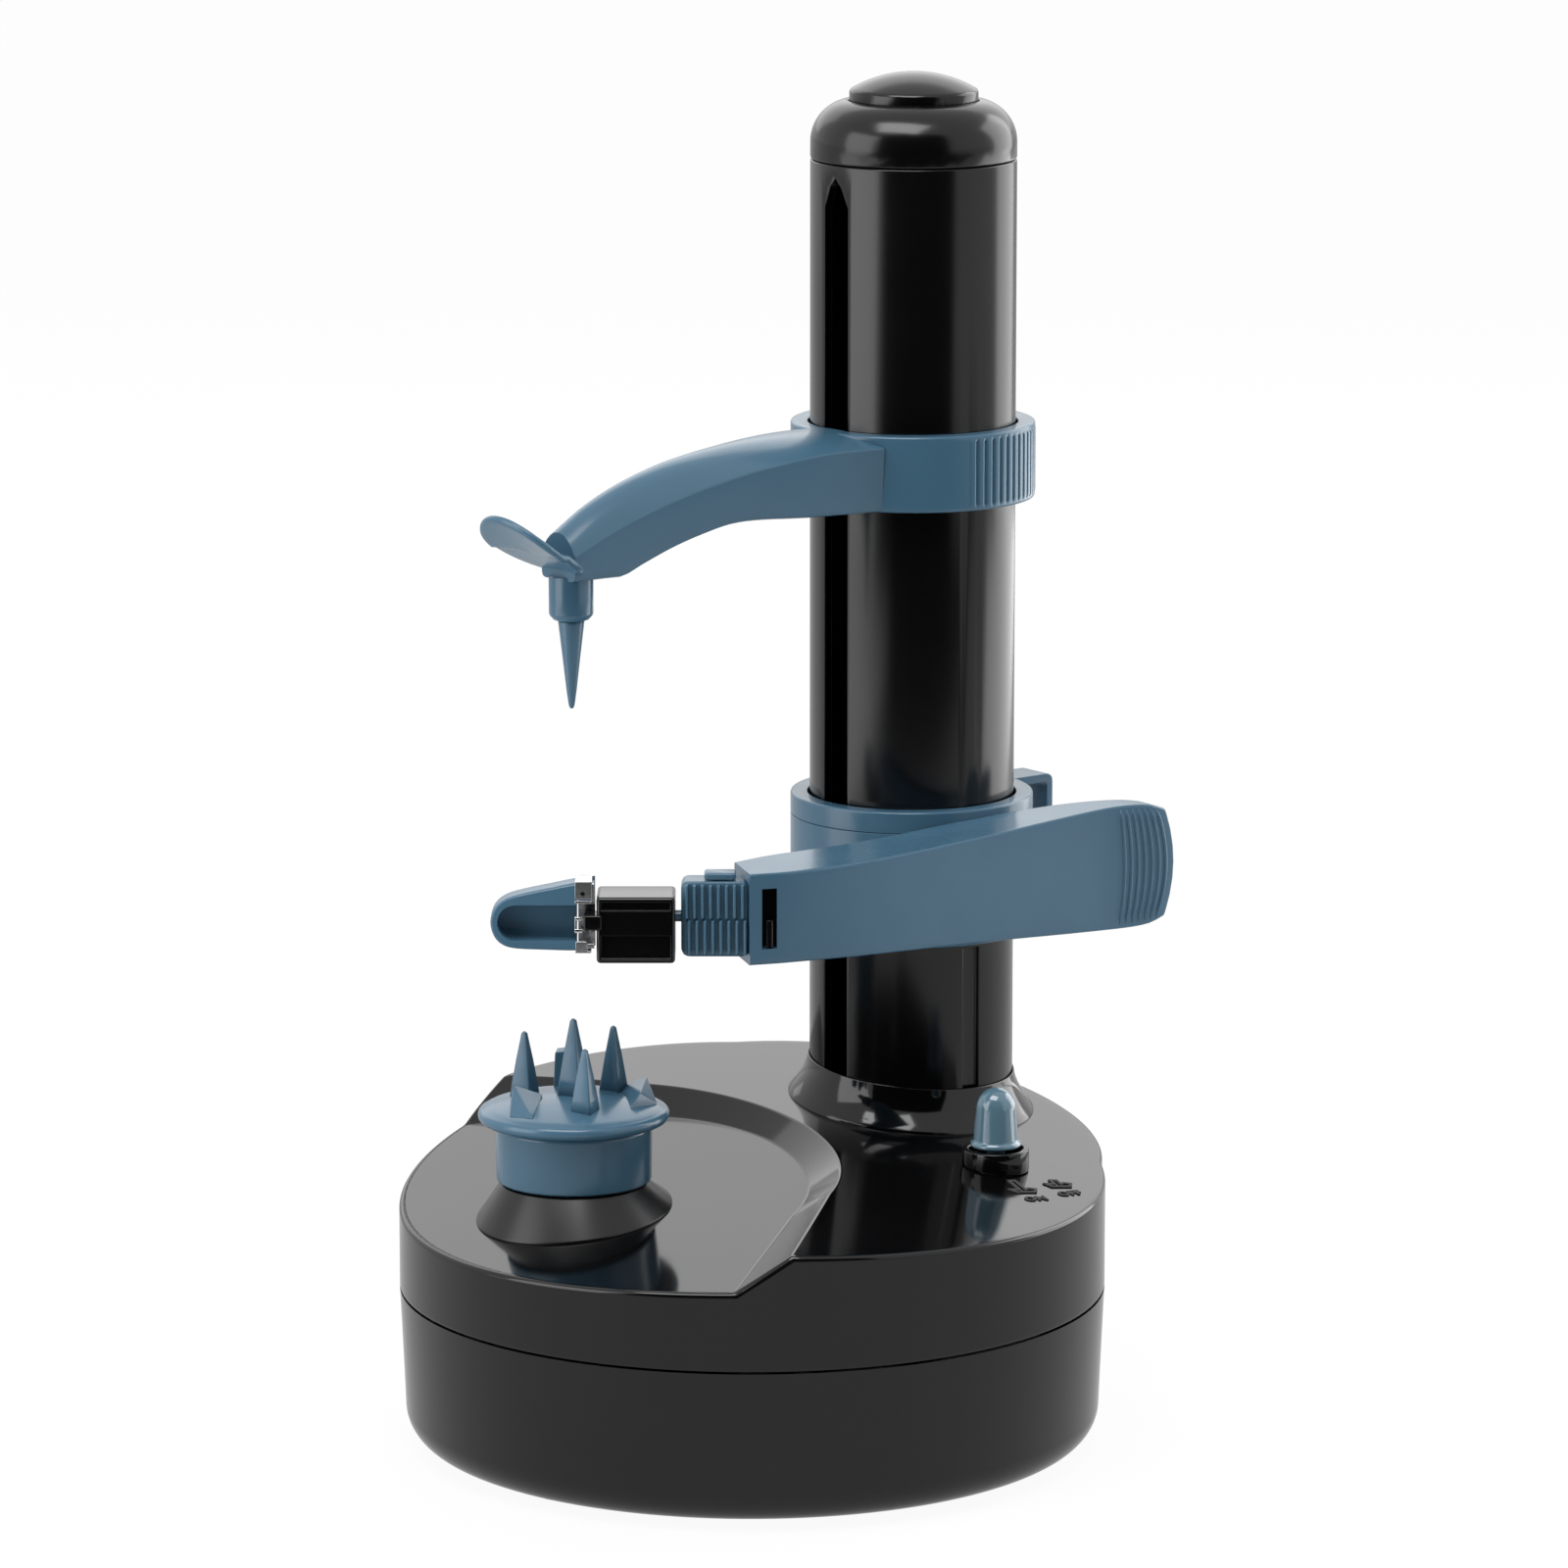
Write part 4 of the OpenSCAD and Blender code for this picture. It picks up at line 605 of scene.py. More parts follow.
def makeUpperShell():
    # one ring per ray: along the top, down the side, under the seam and back along the inside
    edge, crease, thick, start, low = picked(shell, "edge crease thick start seam")
    turns = [tau * step / shell["rays"] for step in range(shell["rays"])]
    columns = []
    for turn in sorted(turns + cornerTurns(deckAt) + cornerTurns(trayAt)):
        limit, inner = rimReach(turn, edge), rimReach(turn, thick)
        foot, rim = meetReach(turn, limit, trayAt), meetReach(turn, limit, deckAt)
        reaches = spaced(start, foot - crease - start, shell["floorShares"]) + [foot, foot + crease]
        reaches += spaced(foot + crease, rim - foot - crease * 2, shell["quarters"]) + [rim, rim + crease]
        reaches += spaced(rim + crease, limit - rim - crease, shell["deckShares"])
        reaches = [min(max(reach, start), limit) for reach in reaches]
        column = [(*onRay(turn, reach), topAt(*onRay(turn, reach))) for reach in reaches]
        high = column[-1][2]
        for share in shell["quarters"]:
            lean = radians(90 * share)
            column.append((*onRay(turn, rimReach(turn, edge * (1 - sin(lean)))),
                           high - edge * (1 - cos(lean))))
        heights = spaced(low + 0.5, high - edge - low - 0.5, shell["sideShares"])
        column += [(*onRay(turn, rimReach(turn, 0)), height) for height in heights]
        for shrink, lift in ((0.12, 0.12), (0.5, 0), (thick, 0)):
            column.append((*onRay(turn, rimReach(turn, shrink)), low + lift))
        for reach in reversed(reaches):
            reach = min(reach, inner)
            column.append((*onRay(turn, reach), topAt(*onRay(turn, min(reach + 0.01, limit))) - thick))
        columns.append(column)
    addPiece("upperShell", skin(columns, closed=True), "base", "black_gloss", ("upper_shell",))


makeUpperShell()

drip = {"top": 15.6, "topHeight": 61.42, "foot": 20.5, "bore": 6.9, "waist": 18.2, "steps": 96}


def makeDripCone():
    # level on top, its foot follows the sloping tray
    bore, top, foot = picked(drip, "bore top foot")
    rings = []
    for radius, share in ((bore, 1), (top - 0.4, 1), (top, 0.97), (drip["waist"], 0.47), (foot, 0.07),
                          (foot + 0.1, 0.03), (foot + 0.1, -0.04), (bore, -0.04)):
        ring = []
        for x, y in circle(axes["food"], radius, drip["steps"]):
            low = trayAt(x, y)
            ring.append((x, y, low + (drip["topHeight"] - low) * share))
        rings.append(ring)
    cone = addPiece("dripCone", skin(rings, closed=True), "base", "black_gloss", ("drip_cone",))
    cone.data.materials[0] = finishes["black_satin"]


makeDripCone()

footRing = {"bore": 22.06, "reach": 26.7, "rise": 8.6, "lip": 0.5, "hollow": 1.75, "steps": 120,
            "shares": (0.12, 0.25, 0.4, 0.55, 0.7, 0.85, 0.97)}


def makeFootRing():
    # concave flare from the sloping deck up to the column
    bore, reach, rise, lip = picked(footRing, "bore reach rise lip")
    flare = [(reach - 0.1, -0.15), (reach, 0), (reach - 0.12, lip)]
    for share in footRing["shares"]:
        flare.append((bore + 0.35 + (reach - bore - 0.45) * (1 - share) ** footRing["hollow"],
                      lip + (rise - lip) * share))
    flare += [(bore + 0.25, rise), (bore, rise - 0.1), (bore, -0.15)]
    rings = [[(x, y, deckAt(x, y) + lift) for x, y in circle(axes["column"], radius, footRing["steps"])]
             for radius, lift in flare]
    addPiece("footRing", skin(rings, closed=True), "base", "black_gloss", ("column_foot_ring",))


makeFootRing()
print("base made")

holder = {
    "radius": 20.1, "low": 74.6, "rim": 2.6, "rise": 3.1, "drum": 16.3, "drumLow": 61.9, "drumBore": 4.3,
    "spikes": [   # reach and turn about the food axis, foot and tip height, root
        (0, 0, 78.4, 96.3, 3.8), (10.7, 40, 77, 93.2, 3.5), (11.2, 158, 77, 92.6, 3.5),
        (11, -76, 77, 92.2, 3.5)],
    "spikeTwist": 20, "spikeFlat": 0.16, "spikeShares": (0, 0.3, 0.6, 0.92, 0.975, 1),
    "spikeTip": {0.975: 0.19, 1: 0.07},
    "fins": [   # corners of each low fin, measured from the middle of the disc
        [(8.4, 10.9, 79.2), (8.8, 9.6, 78), (15.2, 6.4, 82.5), (17.5, -0.3, 78.3), (17.2, -0.6, 76.8),
        (12.2, -7.8, 78.9), (12.4, -7.2, 77.6), (14, -4.1, 81.3)],
        [(-13, -11.8, 78.1), (-12.8, -11.4, 77), (-8.1, -14.6, 78.3), (-8, -14.2, 77.2),
        (-6.5, -1.6, 80.4), (-6.6, -0.6, 79.4), (-13.4, -2.8, 77.6), (-11.8, -4.4, 83), (-12.6, -5.2, 82.8)],
        [(-4.6, 10, 77), (-4.6, 15.6, 76.2), (0.6, 15.4, 76.2), (0.6, 10, 77), (-4.2, 11.4, 86.4),
        (-3.8, 14, 86.8), (-0.4, 14, 87.2), (-0.4, 11.4, 86.8)],
    ],
}


def domeAt(radius):
    top = holder["low"] + holder["rim"] + holder["rise"]
    return top - holder["rise"] * (radius / holder["radius"]) ** 2


def makeDisc():
    low, rim, reach = picked(holder, "low rim radius")
    half = rim / 2
    profile = [(max(radius, 0.01), domeAt(radius)) for radius in (0, 5, 10, 14, 17.2)]
    profile.append((18.4, domeAt(18.4) - 0.05))
    for lean in range(0, 181, 20):   # thick round rim
        angle = radians(90 - lean)
        profile.append((reach - half + half * cos(angle),
                        low + half + half * sin(angle) * (1 if lean > 90 else 1.08)))
    profile += [(17.5, low), (0.01, low)]
    shape = skin(turned(profile, axes["food"]))
    addPiece("spikedDisc", shape, "turntable", "slate_blue", ("spiked_disc",))


def makeSpikes():
    # four-sided spikes with a narrow flat along each edge
    angles = [radians(holder["spikeTwist"] + side * 90) + corner * holder["spikeFlat"]
              for side in range(4) for corner in (-0.5, 0.5)]
    spikes = []
    for reach, turn, low, high, root in holder["spikes"]:
        x, y = onRay(radians(turn), reach)
        rings = []
        for share in holder["spikeShares"]:
            half = root * holder["spikeTip"].get(share, 1 - share * 0.84 + 0.05 * sin(pi * share))
            rings.append([(x + half * cos(angle), y + half * sin(angle), low + (high - low) * share)
                          for angle in angles])
        spikes.append(skin(rings))
    addPiece("holderSpikes", gather(spikes), "turntable", "slate_blue")


def makeFins():
    # low faceted fins between the spikes, each the hull of its corners
    middle = axes["food"]
    work = bmesh.new()
    for corners in holder["fins"]:
        verts = [work.verts.new(((middle[0] + x) * mm, (middle[1] + y) * mm, z * mm)) for x, y, z in corners]
        hull = bmesh.ops.convex_hull(work, input=verts)
        inside = {item for item in hull["geom_interior"] if isinstance(item, bmesh.types.BMVert)}
        bmesh.ops.delete(work, geom=list(inside), context="VERTS")
    bmesh.ops.dissolve_limit(work, angle_limit=0.02, verts=work.verts, edges=work.edges)
    points = [tuple(v / mm for v in vert.co) for vert in work.verts]
    work.verts.index_update()
    faces = [tuple(vert.index for vert in face.verts) for face in work.faces]
    work.free()
    addPiece("holderFins", (points, faces), "turntable", "slate_blue", round=0.2)


def makeDrum():
    radius, bore, low, high = picked(holder, "drum drumBore drumLow low")
    profile = [(bore, high - 1), (bore, low + 0.6), (radius - 2.2, low + 0.6), (radius - 2, low + 0.15),
               (radius - 0.55, low), (radius - 0.18, low + 0.12), (radius, low + 0.5),
               (radius + 0.03, low + 3), (radius + 0.1, high - 1.5), (radius + 0.1, high + 0.05),
               (bore, high + 0.05)]
    shape = turnedRing(profile, axes["food"])
    addPiece("holderDrum", shape, "turntable", "slate_blue", ("holder_drum",))


makeDisc()
makeSpikes()
makeFins()
makeDrum()
print("food holder made")

button = {"radius": 4.3, "low": 64.95, "top": 77.62, "flange": 5.4, "foot": 4.75, "stem": (2, 50),
          "squash": (0.985, 1.05)}


def makeButton():
    # coated cap with a rolled flange, on a stem down to its switch
    radius, top, low, flange, foot = picked(button, "radius top low flange foot")
    wide, tall = button["squash"]
    profile = [button["stem"], (button["stem"][0], low + 0.1), (flange - 0.3, low), (flange, low + 0.35),
               (flange - 0.1, low + 0.95), (flange - 0.45, low + 1.15), (foot + 0.1, low + 1.3),
               (foot, low + 1.7), (radius, low + 7.4)]
    for lean in range(0, 91, 10):
        angle = radians(lean)
        profile.append((max(radius * cos(angle) * wide, 0.01),
                        top - radius * tall + radius * tall * sin(angle)))
    shape = skin(turned(profile, axes["button"], 64))
    addPiece("powerButton", shape, "button", "clear_blue", ("power_button",))


makeButton()

signs = {
    "turn": 22, "stroke": 0.34, "rise": 0.3,
    "icons": [("onSign", (57.1, -18.6), 5.6), ("offSign", (64.7, -12), 2.4)],
    "words": [("onWord", "ON", (59.6, -23.6), 3.3, 28), ("offWord", "OFF", (66.9, -17.2), 3.3, 34)],
    "wordRise": 0.12, "wordBold": 0.1,
}


def makeIcons():
    # raised outline of a rocker: tall stem for on, short stem for off
    turn, half, rise = radians(signs["turn"]), signs["stroke"], signs["rise"]
    for name, middle, stem in signs["icons"]:
        outline = [(-2.9, 0.2), (-2.1, -1.5), (2.1, -1.5), (2.9, 0.2), (1.5, 0.8), (0.5, 0), (0.5, stem),
                   (-0.9, stem), (-0.9, 0.1)]
        inside, outside = [], []
        for index, corner in enumerate(outline):
            before, after = Vector(outline[index - 1]), Vector(outline[(index + 1) % len(outline)])
            corner = Vector(corner)
            first, second = (corner - before).normalized(), (after - corner).normalized()
            normal = Vector((first.y + second.y, -first.x - second.x)).normalized()
            grow = half / max(normal.dot(Vector((first.y, -first.x))), 0.5)
            outside.append(corner + normal * grow)
            inside.append(corner - normal * grow)
        rings = []
        for line, lift in ((inside, -0.1), (outside, -0.1), (outside, rise), (inside, rise)):
            spots = [onTurn(middle, turn, spot.x, spot.y) for spot in line]
            rings.append([(x, y, deckAt(x, y) + lift) for x, y in spots])
        addPiece(name, skin(rings, closed=True), "base", "foot_rubber")


def makeWords():
    # ON and OFF lying on the deck
    for name, word, (x, y), size, turn in signs["words"]:
        curve = bpy.data.curves.new(name, "FONT")
        curve.body = word
        curve.size = size * mm
        curve.extrude = signs["wordRise"] * mm
        curve.offset = signs["wordBold"] * mm
        curve.resolution_u = 3
        curve.align_x, curve.align_y = "CENTER", "CENTER"
        curve.materials.append(finishes["foot_rubber"])
        text = placed(name, curve)
        slopeX = (deckAt(x + 1, y) - deckAt(x - 1, y)) / 2
        slopeY = (deckAt(x, y + 1) - deckAt(x, y - 1)) / 2
        text.location = (x * mm, y * mm, (deckAt(x, y) + signs["wordRise"]) * mm)
        spin = Vector((cos(radians(turn)), sin(radians(turn)), 0))
        normal = Vector((-slopeX, -slopeY, 1)).normalized()
        right = (spin - normal * spin.dot(normal)).normalized()
        text.rotation_mode = "QUATERNION"
        text.rotation_quaternion = Matrix((right, normal.cross(right), normal)).transposed().to_quaternion()
        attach(text, "base")


makeIcons()
makeWords()
print("button and signs made")

arm = {
    "turn": 220.34,
    "start": 21.5, "end": 97.3, "rows": 44, "bore": 22.36,
    "half": [(21.5, 15.6), (37.1, 13.4), (53.8, 10.5), (68.9, 8.3), (82.5, 6.8), (97.3, 5.7)],
    "ridge": [(21.5, 213.9), (35, 214), (47, 213.6), (60, 212.4), (70, 210.8), (81, 207.8), (90, 204),
        (97.3, 199.6)],
    "crease": [(21.5, 211.4), (36, 211.3), (50, 209.6), (60, 207.7), (70, 205.3), (84, 200.9), (92, 197.6),
        (97.3, 195.2)],
    "low": [(21.5, 197.7), (40, 198), (52, 198.5), (58, 198.2), (64, 196.9), (72, 194.6), (80, 191.6),
        (84.5, 189.75), (88, 189.7), (97.3, 189.7)],
}


def alongArm(reach, across, height, middle="column"):
    return (*onTurn(axes[middle], radians(arm["turn"]), reach, across), height)


def makeTopArm():
    lines = picked(arm, "half ridge crease low")
    rings = []
    for row in range(arm["rows"] + 1):
        reach = arm["start"] + (arm["end"] - arm["start"]) * row / arm["rows"]
        half, ridge, crease, low = [curveThrough(line, reach) for line in lines]
        foot = half * 0.95
        outline = [(-foot + 1, low), (-foot + 0.3, low + 0.28), (-foot, low + 0.9)]
        outline += [(-foot - (half - foot) * share, low + (crease - low) * share) for share in (0.35, 0.7)]
        outline += [(-half, crease - 0.35), (-half + 0.1, crease),
                    (-half + 0.4, crease + (ridge - crease) * 0.06)]
        for step in range(1, 12):
            share = -1 + step / 6
            outline.append((share * half * 0.97, crease + (ridge - crease) * (1 - abs(share) ** 2.2)))
        outline += [(-across, height) for across, height in reversed(outline[:8])]
        rings.append([alongArm(reach, across, height) for across, height in outline])
    piece = addPiece("topArm", skin(rings), "arm", "slate_blue", ("top_arm",), round=0.35, angle=40)
    carve(piece, cutterFrom(turned([(arm["bore"], 190), (arm["bore"], 220)], axes["column"], 128)))


makeTopArm()

pad = {"reach": 10.4, "height": 196.9, "tilt": 33, "radius": 11.7, "thick": 1.5, "dish": 1.3, "saddle": 1,
       "steps": 72,
       "side": [(0.02, 1), (0.3, 1), (0.55, 1), (0.75, 1), (0.88, 1), (0.95, 1), (0.985, 0.72), (1, 0.2)]}


def makeThumbPad():
    # saddle-shaped saucer for a thumb, standing on the arm's end
    tilt = radians(pad["tilt"])
    rings = []
    for share, face in pad["side"] + [(share, -face) for share, face in reversed(pad["side"])]:
        ring = []
        for step in range(pad["steps"]):
            turn = tau * step / pad["steps"]
            along, across = pad["radius"] * share * cos(turn), pad["radius"] * share * sin(turn)
            lift = (pad["dish"] * share ** 2 * cos(turn) ** 2
                    - pad["saddle"] * share ** 2 * sin(turn) ** 2)
            if along < 0:
                lift *= 0.4
            lift += face * pad["thick"] / 2
            reach = pad["reach"] + along * cos(tilt) - lift * sin(tilt)
            height = pad["height"] + along * sin(tilt) + lift * cos(tilt)
            ring.append(alongArm(reach, across, height, "food"))
        rings.append(ring)
    addPiece("thumbPad", skin(rings), "arm", "slate_blue", ("thumb_pad",))


topSpike = {   # (radius, height) pairs
    "spike": [(0.01, 162.25), (0.35, 162.35), (0.55, 162.75), (0.72, 163.6), (1.05, 166), (1.85, 173),
        (2.7, 180.2), (2.75, 180.8), (1.95, 181.2), (1.95, 187), (0.01, 187)],
    "socket": [(2.1, 187.4), (2.1, 181.05), (3.5, 181.05), (3.75, 181.15), (4.5, 182), (4.62, 182.5),
        (4.65, 190.2), (2.1, 190.2)],
}


def makeTopSpike():
    spike = skin(turned(topSpike["spike"], axes["food"], 16))
    addPiece("topSpike", spike, "arm_spike", "slate_blue", ("top_spike",))
    socket = turnedRing(topSpike["socket"], axes["food"], 64)
    addPiece("spikeSocket", socket, "arm", "slate_blue", ("spike_socket",))


makeThumbPad()
makeTopSpike()
print("top arm made")

lever = {
    "middle": 119.5, "rows": 56,
    # front and back faces in plan from the barrel to the tail, then the half height
    "front": [(-0.3, -30.6), (8, -27.8), (21, -20.9), (33, -12.3), (43, -4.4), (55, 5), (66, 13.7),
        (76, 21.4), (82, 25), (86.2, 27.2), (88.3, 28.9)],
    "back": [(-3.6, -17.5), (3.4, -10.5), (11, -5.8), (22, 0.4), (33, 8.2), (43, 15.6), (54, 22.2),
        (65, 27.4), (75, 30.2), (82, 31.4), (86.2, 31.9)],
    "half": [(0, 9.7), (0.12, 9.75), (0.3, 10.3), (0.55, 11.5), (0.8, 13.05), (0.9, 13.45), (0.96, 13.1),
        (1, 11.9)],
    "corner": 0.7, "levels": [-0.85, -0.6, -0.3, 0, 0.3, 0.6, 0.85],
    "bow": 2.3, "bowFrom": 0.86, "bowOver": 0.14, "bowWay": (0.9, 0.42),   # swelling of the tail
    "hub": [(23.75, 105.6), (26, 105.6), (26.15, 105.8), (26.15, 128.4), (26.05, 128.52), (23.75, 128.52)],
    "cuts": [(23.76, 90, 150), (26.4, 128.54, 150), (26.5, 90, 105.5)],   # radius, low, high at the column
    "window": ((2.2, -40, 113.1), (5.3, -25.2, 125.9)),
    "ribs": 7, "ribStep": 0.0138, "ribStart": 0.893, "ribBow": 0.006, "ribSize": 0.5,
    "ribLevel": 0.93, "ribLift": 0.12,
}


def leverBow(share, level):
    bow = lever["bow"] * max(share - lever["bowFrom"], 0) / lever["bowOver"] * (1 - level ** 2)
    return bow * lever["bowWay"][0], bow * lever["bowWay"][1]


def leverSection(row):
    # one cross-section of the lever: the faces bow out at the tail
    rows, levels, corner = picked(lever, "rows levels corner")
    near, far = Vector(lever["frontPath"][row]), Vector(lever["backPath"][row])
    half = curveThrough(lever["half"], row / rows)
    deep = (far - near).length
    section = softCorners([(0, -half), (deep, -half)] + [(deep, half * level) for level in levels]
                          + [(deep, half), (0, half)] + [(0, half * level) for level in reversed(levels)],
                          [corner] * 2 + [0] * 7 + [corner] * 2 + [0] * 7, steps=3)
    ring = []
    for depth, height in section:
        spot = near.lerp(far, depth / deep)
        bowX, bowY = leverBow(row / rows, height / half)
        ring.append((spot.x + bowX, spot.y + bowY, lever["middle"] + height))
    return ring


def onLeverFront(share, level):
    # point on the front face, level from -1 at the bottom to 1 at the top
    at = share * lever["rows"]
    row = min(int(at), lever["rows"] - 1)
    near = Vector(lever["frontPath"][row]).lerp(Vector(lever["frontPath"][row + 1]), at - row)
    bowX, bowY = leverBow(share, level)
    return near.x + bowX, near.y + bowY, lever["middle"] + level * curveThrough(lever["half"], share)


def bead(path, radius, sides=8):
    # rings of a rounded rod along a path of points
    rings = []
    for index, here in enumerate(path):
        before, after = Vector(path[max(index - 1, 0)]), Vector(path[min(index + 1, len(path) - 1)])
        along = (after - before).normalized()
        across = along.orthogonal().normalized()
        other = along.cross(across)
        size = radius * (0.25 if index in (0, len(path) - 1) else 1)
        turns = [tau * side / sides for side in range(sides)]
        rings.append([tuple(Vector(here) + across * size * cos(turn) + other * size * sin(turn))
                      for turn in turns])
    return rings


def makeLever():
    lever["frontPath"] = pathThrough(lever["front"], lever["rows"])
    lever["backPath"] = pathThrough(lever["back"], lever["rows"])
    rings = [leverSection(row) for row in range(lever["rows"] + 1)]
    piece = addPiece("peelingLever", skin(rings), "lever", "slate_blue", ("peeling_lever",), round=0.7)
    column = axes["column"]
    cutters = [cutterFrom(turned([(radius, low), (radius, high)], column))
               for radius, low, high in lever["cuts"]]
    carve(piece, *cutters, boxCutter(*lever["window"]))
    addPiece("leverHub", turnedRing(lever["hub"], column, 120), "lever", "slate_blue")
    ribs = []
    for index in range(lever["ribs"]):
        share = lever["ribStart"] + index * lever["ribStep"]
        path = []
        for step in range(15):
            level = -lever["ribLevel"] + lever["ribLevel"] * 2 * step / 14
            x, y, z = onLeverFront(share + lever["ribBow"] * (1 - level ** 2), level)
            path.append((x, y + lever["ribLift"], z))
        ribs.append(skin(bead(path, lever["ribSize"])))
    addPiece("tailRibs", gather(ribs), "lever", "slate_blue")


makeLever()

grip = {
    "left": -14.6, "right": -0.8, "front": -29.15, "back": -21.5, "low": 111.4, "high": 127.3,
    "middle": 119.45,
    "ends": [(0, 0.86), (0.3, 0.93), (0.8, 0.975), (1.5, 1)],    # distance from the end, shrink
    "ribs": 8, "pitch": 1.66, "shift": 0.5, "size": 0.44,
    # rib outline: half widths across, how far it is sunk, how far it stands out
    "ribForm": [(-1, 0.3, 0), (-0.8, 0, 1), (-0.35, 0, 1.3), (0.35, 0, 1.3), (0.8, 0, 1), (1, 0.3, 0)],
    "catch": [(3.1, -29.3), (4.4, -29.3), (4.4, -25.3), (3.1, -25.3)],
    "catchHeights": (113.5, 119.1),
    # black plate at the back of the lever's window: painted shade that keeps the slot dark
    "windowShadePlate": ((2.3, -26.4, 113.2), (5.2, -25.3, 125.8)),
}


def makeGrip():
    # rounded block with two rows of upright ribs on its front
    left, right, front, back, low, high, middle = picked(grip, "left right front back low high middle")
    plan = softCorners([(left, front), (right, front), (right, back), (left, back)], [1.6, 0.3, 0.3, 1.2])
    middleX, middleY = (left + right) / 2, (front + back) / 2
    levels = [(low + step, shrink) for step, shrink in grip["ends"]]
    levels += [(high - step, shrink) for step, shrink in reversed(grip["ends"])]
    shapes = [skin([[(middleX + (x - middleX) * shrink, middleY + (y - middleY) * shrink, height)
                          for x, y in plan] for height, shrink in levels])]
    wide, form = grip["size"], grip["ribForm"]
    for base, top, shift in ((middle + 0.1, high - 0.5, 0), (low + 0.5, middle - 0.1, grip["shift"])):
        for index in range(grip["ribs"]):
            at = left + 1.15 + index * grip["pitch"] + shift
            if at > right - 0.3:
                continue
            shapes.append(skin([
                [(at + wide * side, front + sunk - out * share, height) for side, sunk, out in form]
                for height, share in ((base, 0.5), (base + 0.4, 1), (top - 0.4, 1), (top, 0.5))]))
    addPiece("bladeGrip", gather(shapes), "lever", "slate_blue", ("blade_grip",))
    # sprung catch of the grip in the dark window of the lever
    outline = softCorners(grip["catch"], [0.25] * 4)
    shape = skin([[(x, y, z) for x, y in outline] for z in grip["catchHeights"]])
    addPiece("gripCatch", shape, "lever", "black_gloss", round=0.2)
    # black plate at the back of the window, painted shade standing in for the dark inside of the slot
    addPiece("windowShadePlate", skin(boxRings(*grip["windowShadePlate"])), "lever", "black_gloss", round=0.1)


makeGrip()
print("lever and grip made")

guard = {
    "front": -32.3, "back": -26.5, "middle": (-43.5, 120.2),
    "outline": [(-54.1, 119.4), (-53.2, 122.4), (-50.8, 124.4), (-46.8, 125.6), (-41.5, 126.7),
        (-36.6, 127.7), (-33.6, 127.8), (-32.6, 127.3), (-32.6, 113.7), (-36.7, 113.3), (-42.5, 113.45),
        (-48.6, 113.7), (-51.6, 114.5), (-53.4, 116.4)],
    "straight": (5, 6, 7, 8),   # places in the outline after which it isn't curved
    "nose": (-48.9, 119.25, 3.75), "recess": 4.6, "recessRight": -30.6,
    "slot": ((-36.2, -33.3, 110), (-30, -20, 124.1)),
}


def smoothOutline(outline, straight):
    # two more points on a smooth curve after each corner that isn't kept straight
    smooth = []
    count = len(outline)
    for index, here in enumerate(outline):
        before, after, beyond = outline[index - 1], outline[(index + 1) % count], outline[(index + 2) % count]
        smooth.append(here)
        if index in straight:
            continue
        for share in (0.33, 0.67):
            s2, s3 = share * share, share ** 3
            smooth.append(tuple(0.5 * (2 * h + (a - b) * share + (2 * b - 5 * h + 4 * a - c) * s2
                                       + (3 * h - b - 3 * a + c) * s3)
                                for b, h, a, c in zip(before, here, after, beyond)))
    return smooth


def makeGuard():
    # round-nosed guard of the blade with a deep stadium recess in its face
    front, back = guard["front"], guard["back"]
    smooth = smoothOutline(guard["outline"], guard["straight"])
    cx, cz = guard["middle"]
    levels = (front, 0.962), (front + 0.22, 0.985), (front + 0.75, 1), (back - 0.5, 1), (back, 0.98)
    rings = [[(cx + (x - cx) * shrink, y, cz + (z - cz) * (1 - (1 - shrink) * 2)) for x, z in smooth]
             for y, shrink in levels]
    piece = addPiece("bladeGuard", skin(rings), "blade_head", "slate_blue", ("blade_guard",),
                     round=0.3, angle=35)
    x, z, radius = guard["nose"]
    turns = [radians(90 + 180 * step / 32) for step in range(33)]
    hollow = [onTurn((x, z), turn, radius) for turn in turns]
    hollow += [(guard["recessRight"], z - radius), (guard["recessRight"], z + radius)]
    depths = (front - 2, front + guard["recess"])
    carve(piece, cutterFrom([[(px, y, pz) for px, pz in hollow] for y in depths]), boxCutter(*guard["slot"]))


makeGuard()

head = {
    "block": ((-32.1, -32.3, 110.6), (-15.8, -19.7, 124.6)),
    "panels": [(-31.2, -16.7, 121.8, 123.6), (-31.2, -16.7, 111.6, 116.5)], "panelDepth": 0.7,
    "bar": ((-34.7, -32.9, 117.7), (-31, -27, 120.9)),
    "clip": [   # bent strips of the steel blade: low corner, high corner
        ((-36.5, -32.72, 124.4), (-33, -32.25, 128.05)), ((-36.5, -32.7, 127.65), (-33, -26, 128.1)),
        ((-36, -26.35, 113.2), (-32.45, -25.75, 128.1)), ((-33.05, -32.6, 123.4), (-32.5, -31.6, 127.6)),
        ((-36.6, -32.6, 123.4), (-32.6, -32.2, 124)), ((-36.6, -32.5, 117.3), (-36.1, -30.8, 120.6)),
        ((-36.6, -32.6, 117.2), (-35, -32.2, 118)), ((-36.6, -32.6, 119.8), (-35.2, -32.2, 120.5)),
        ((-36.4, -32.7, 113.3), (-34, -32.2, 115.4)), ((-34.3, -32.6, 113.9), (-32.5, -32.2, 114.9)),
        ((-36.5, -32.6, 112.9), (-33.2, -26, 113.35)),
    ],
    "hole": (-34.9, 125.5, 0.5), "holeDepths": (-32.76, -32.3),
}


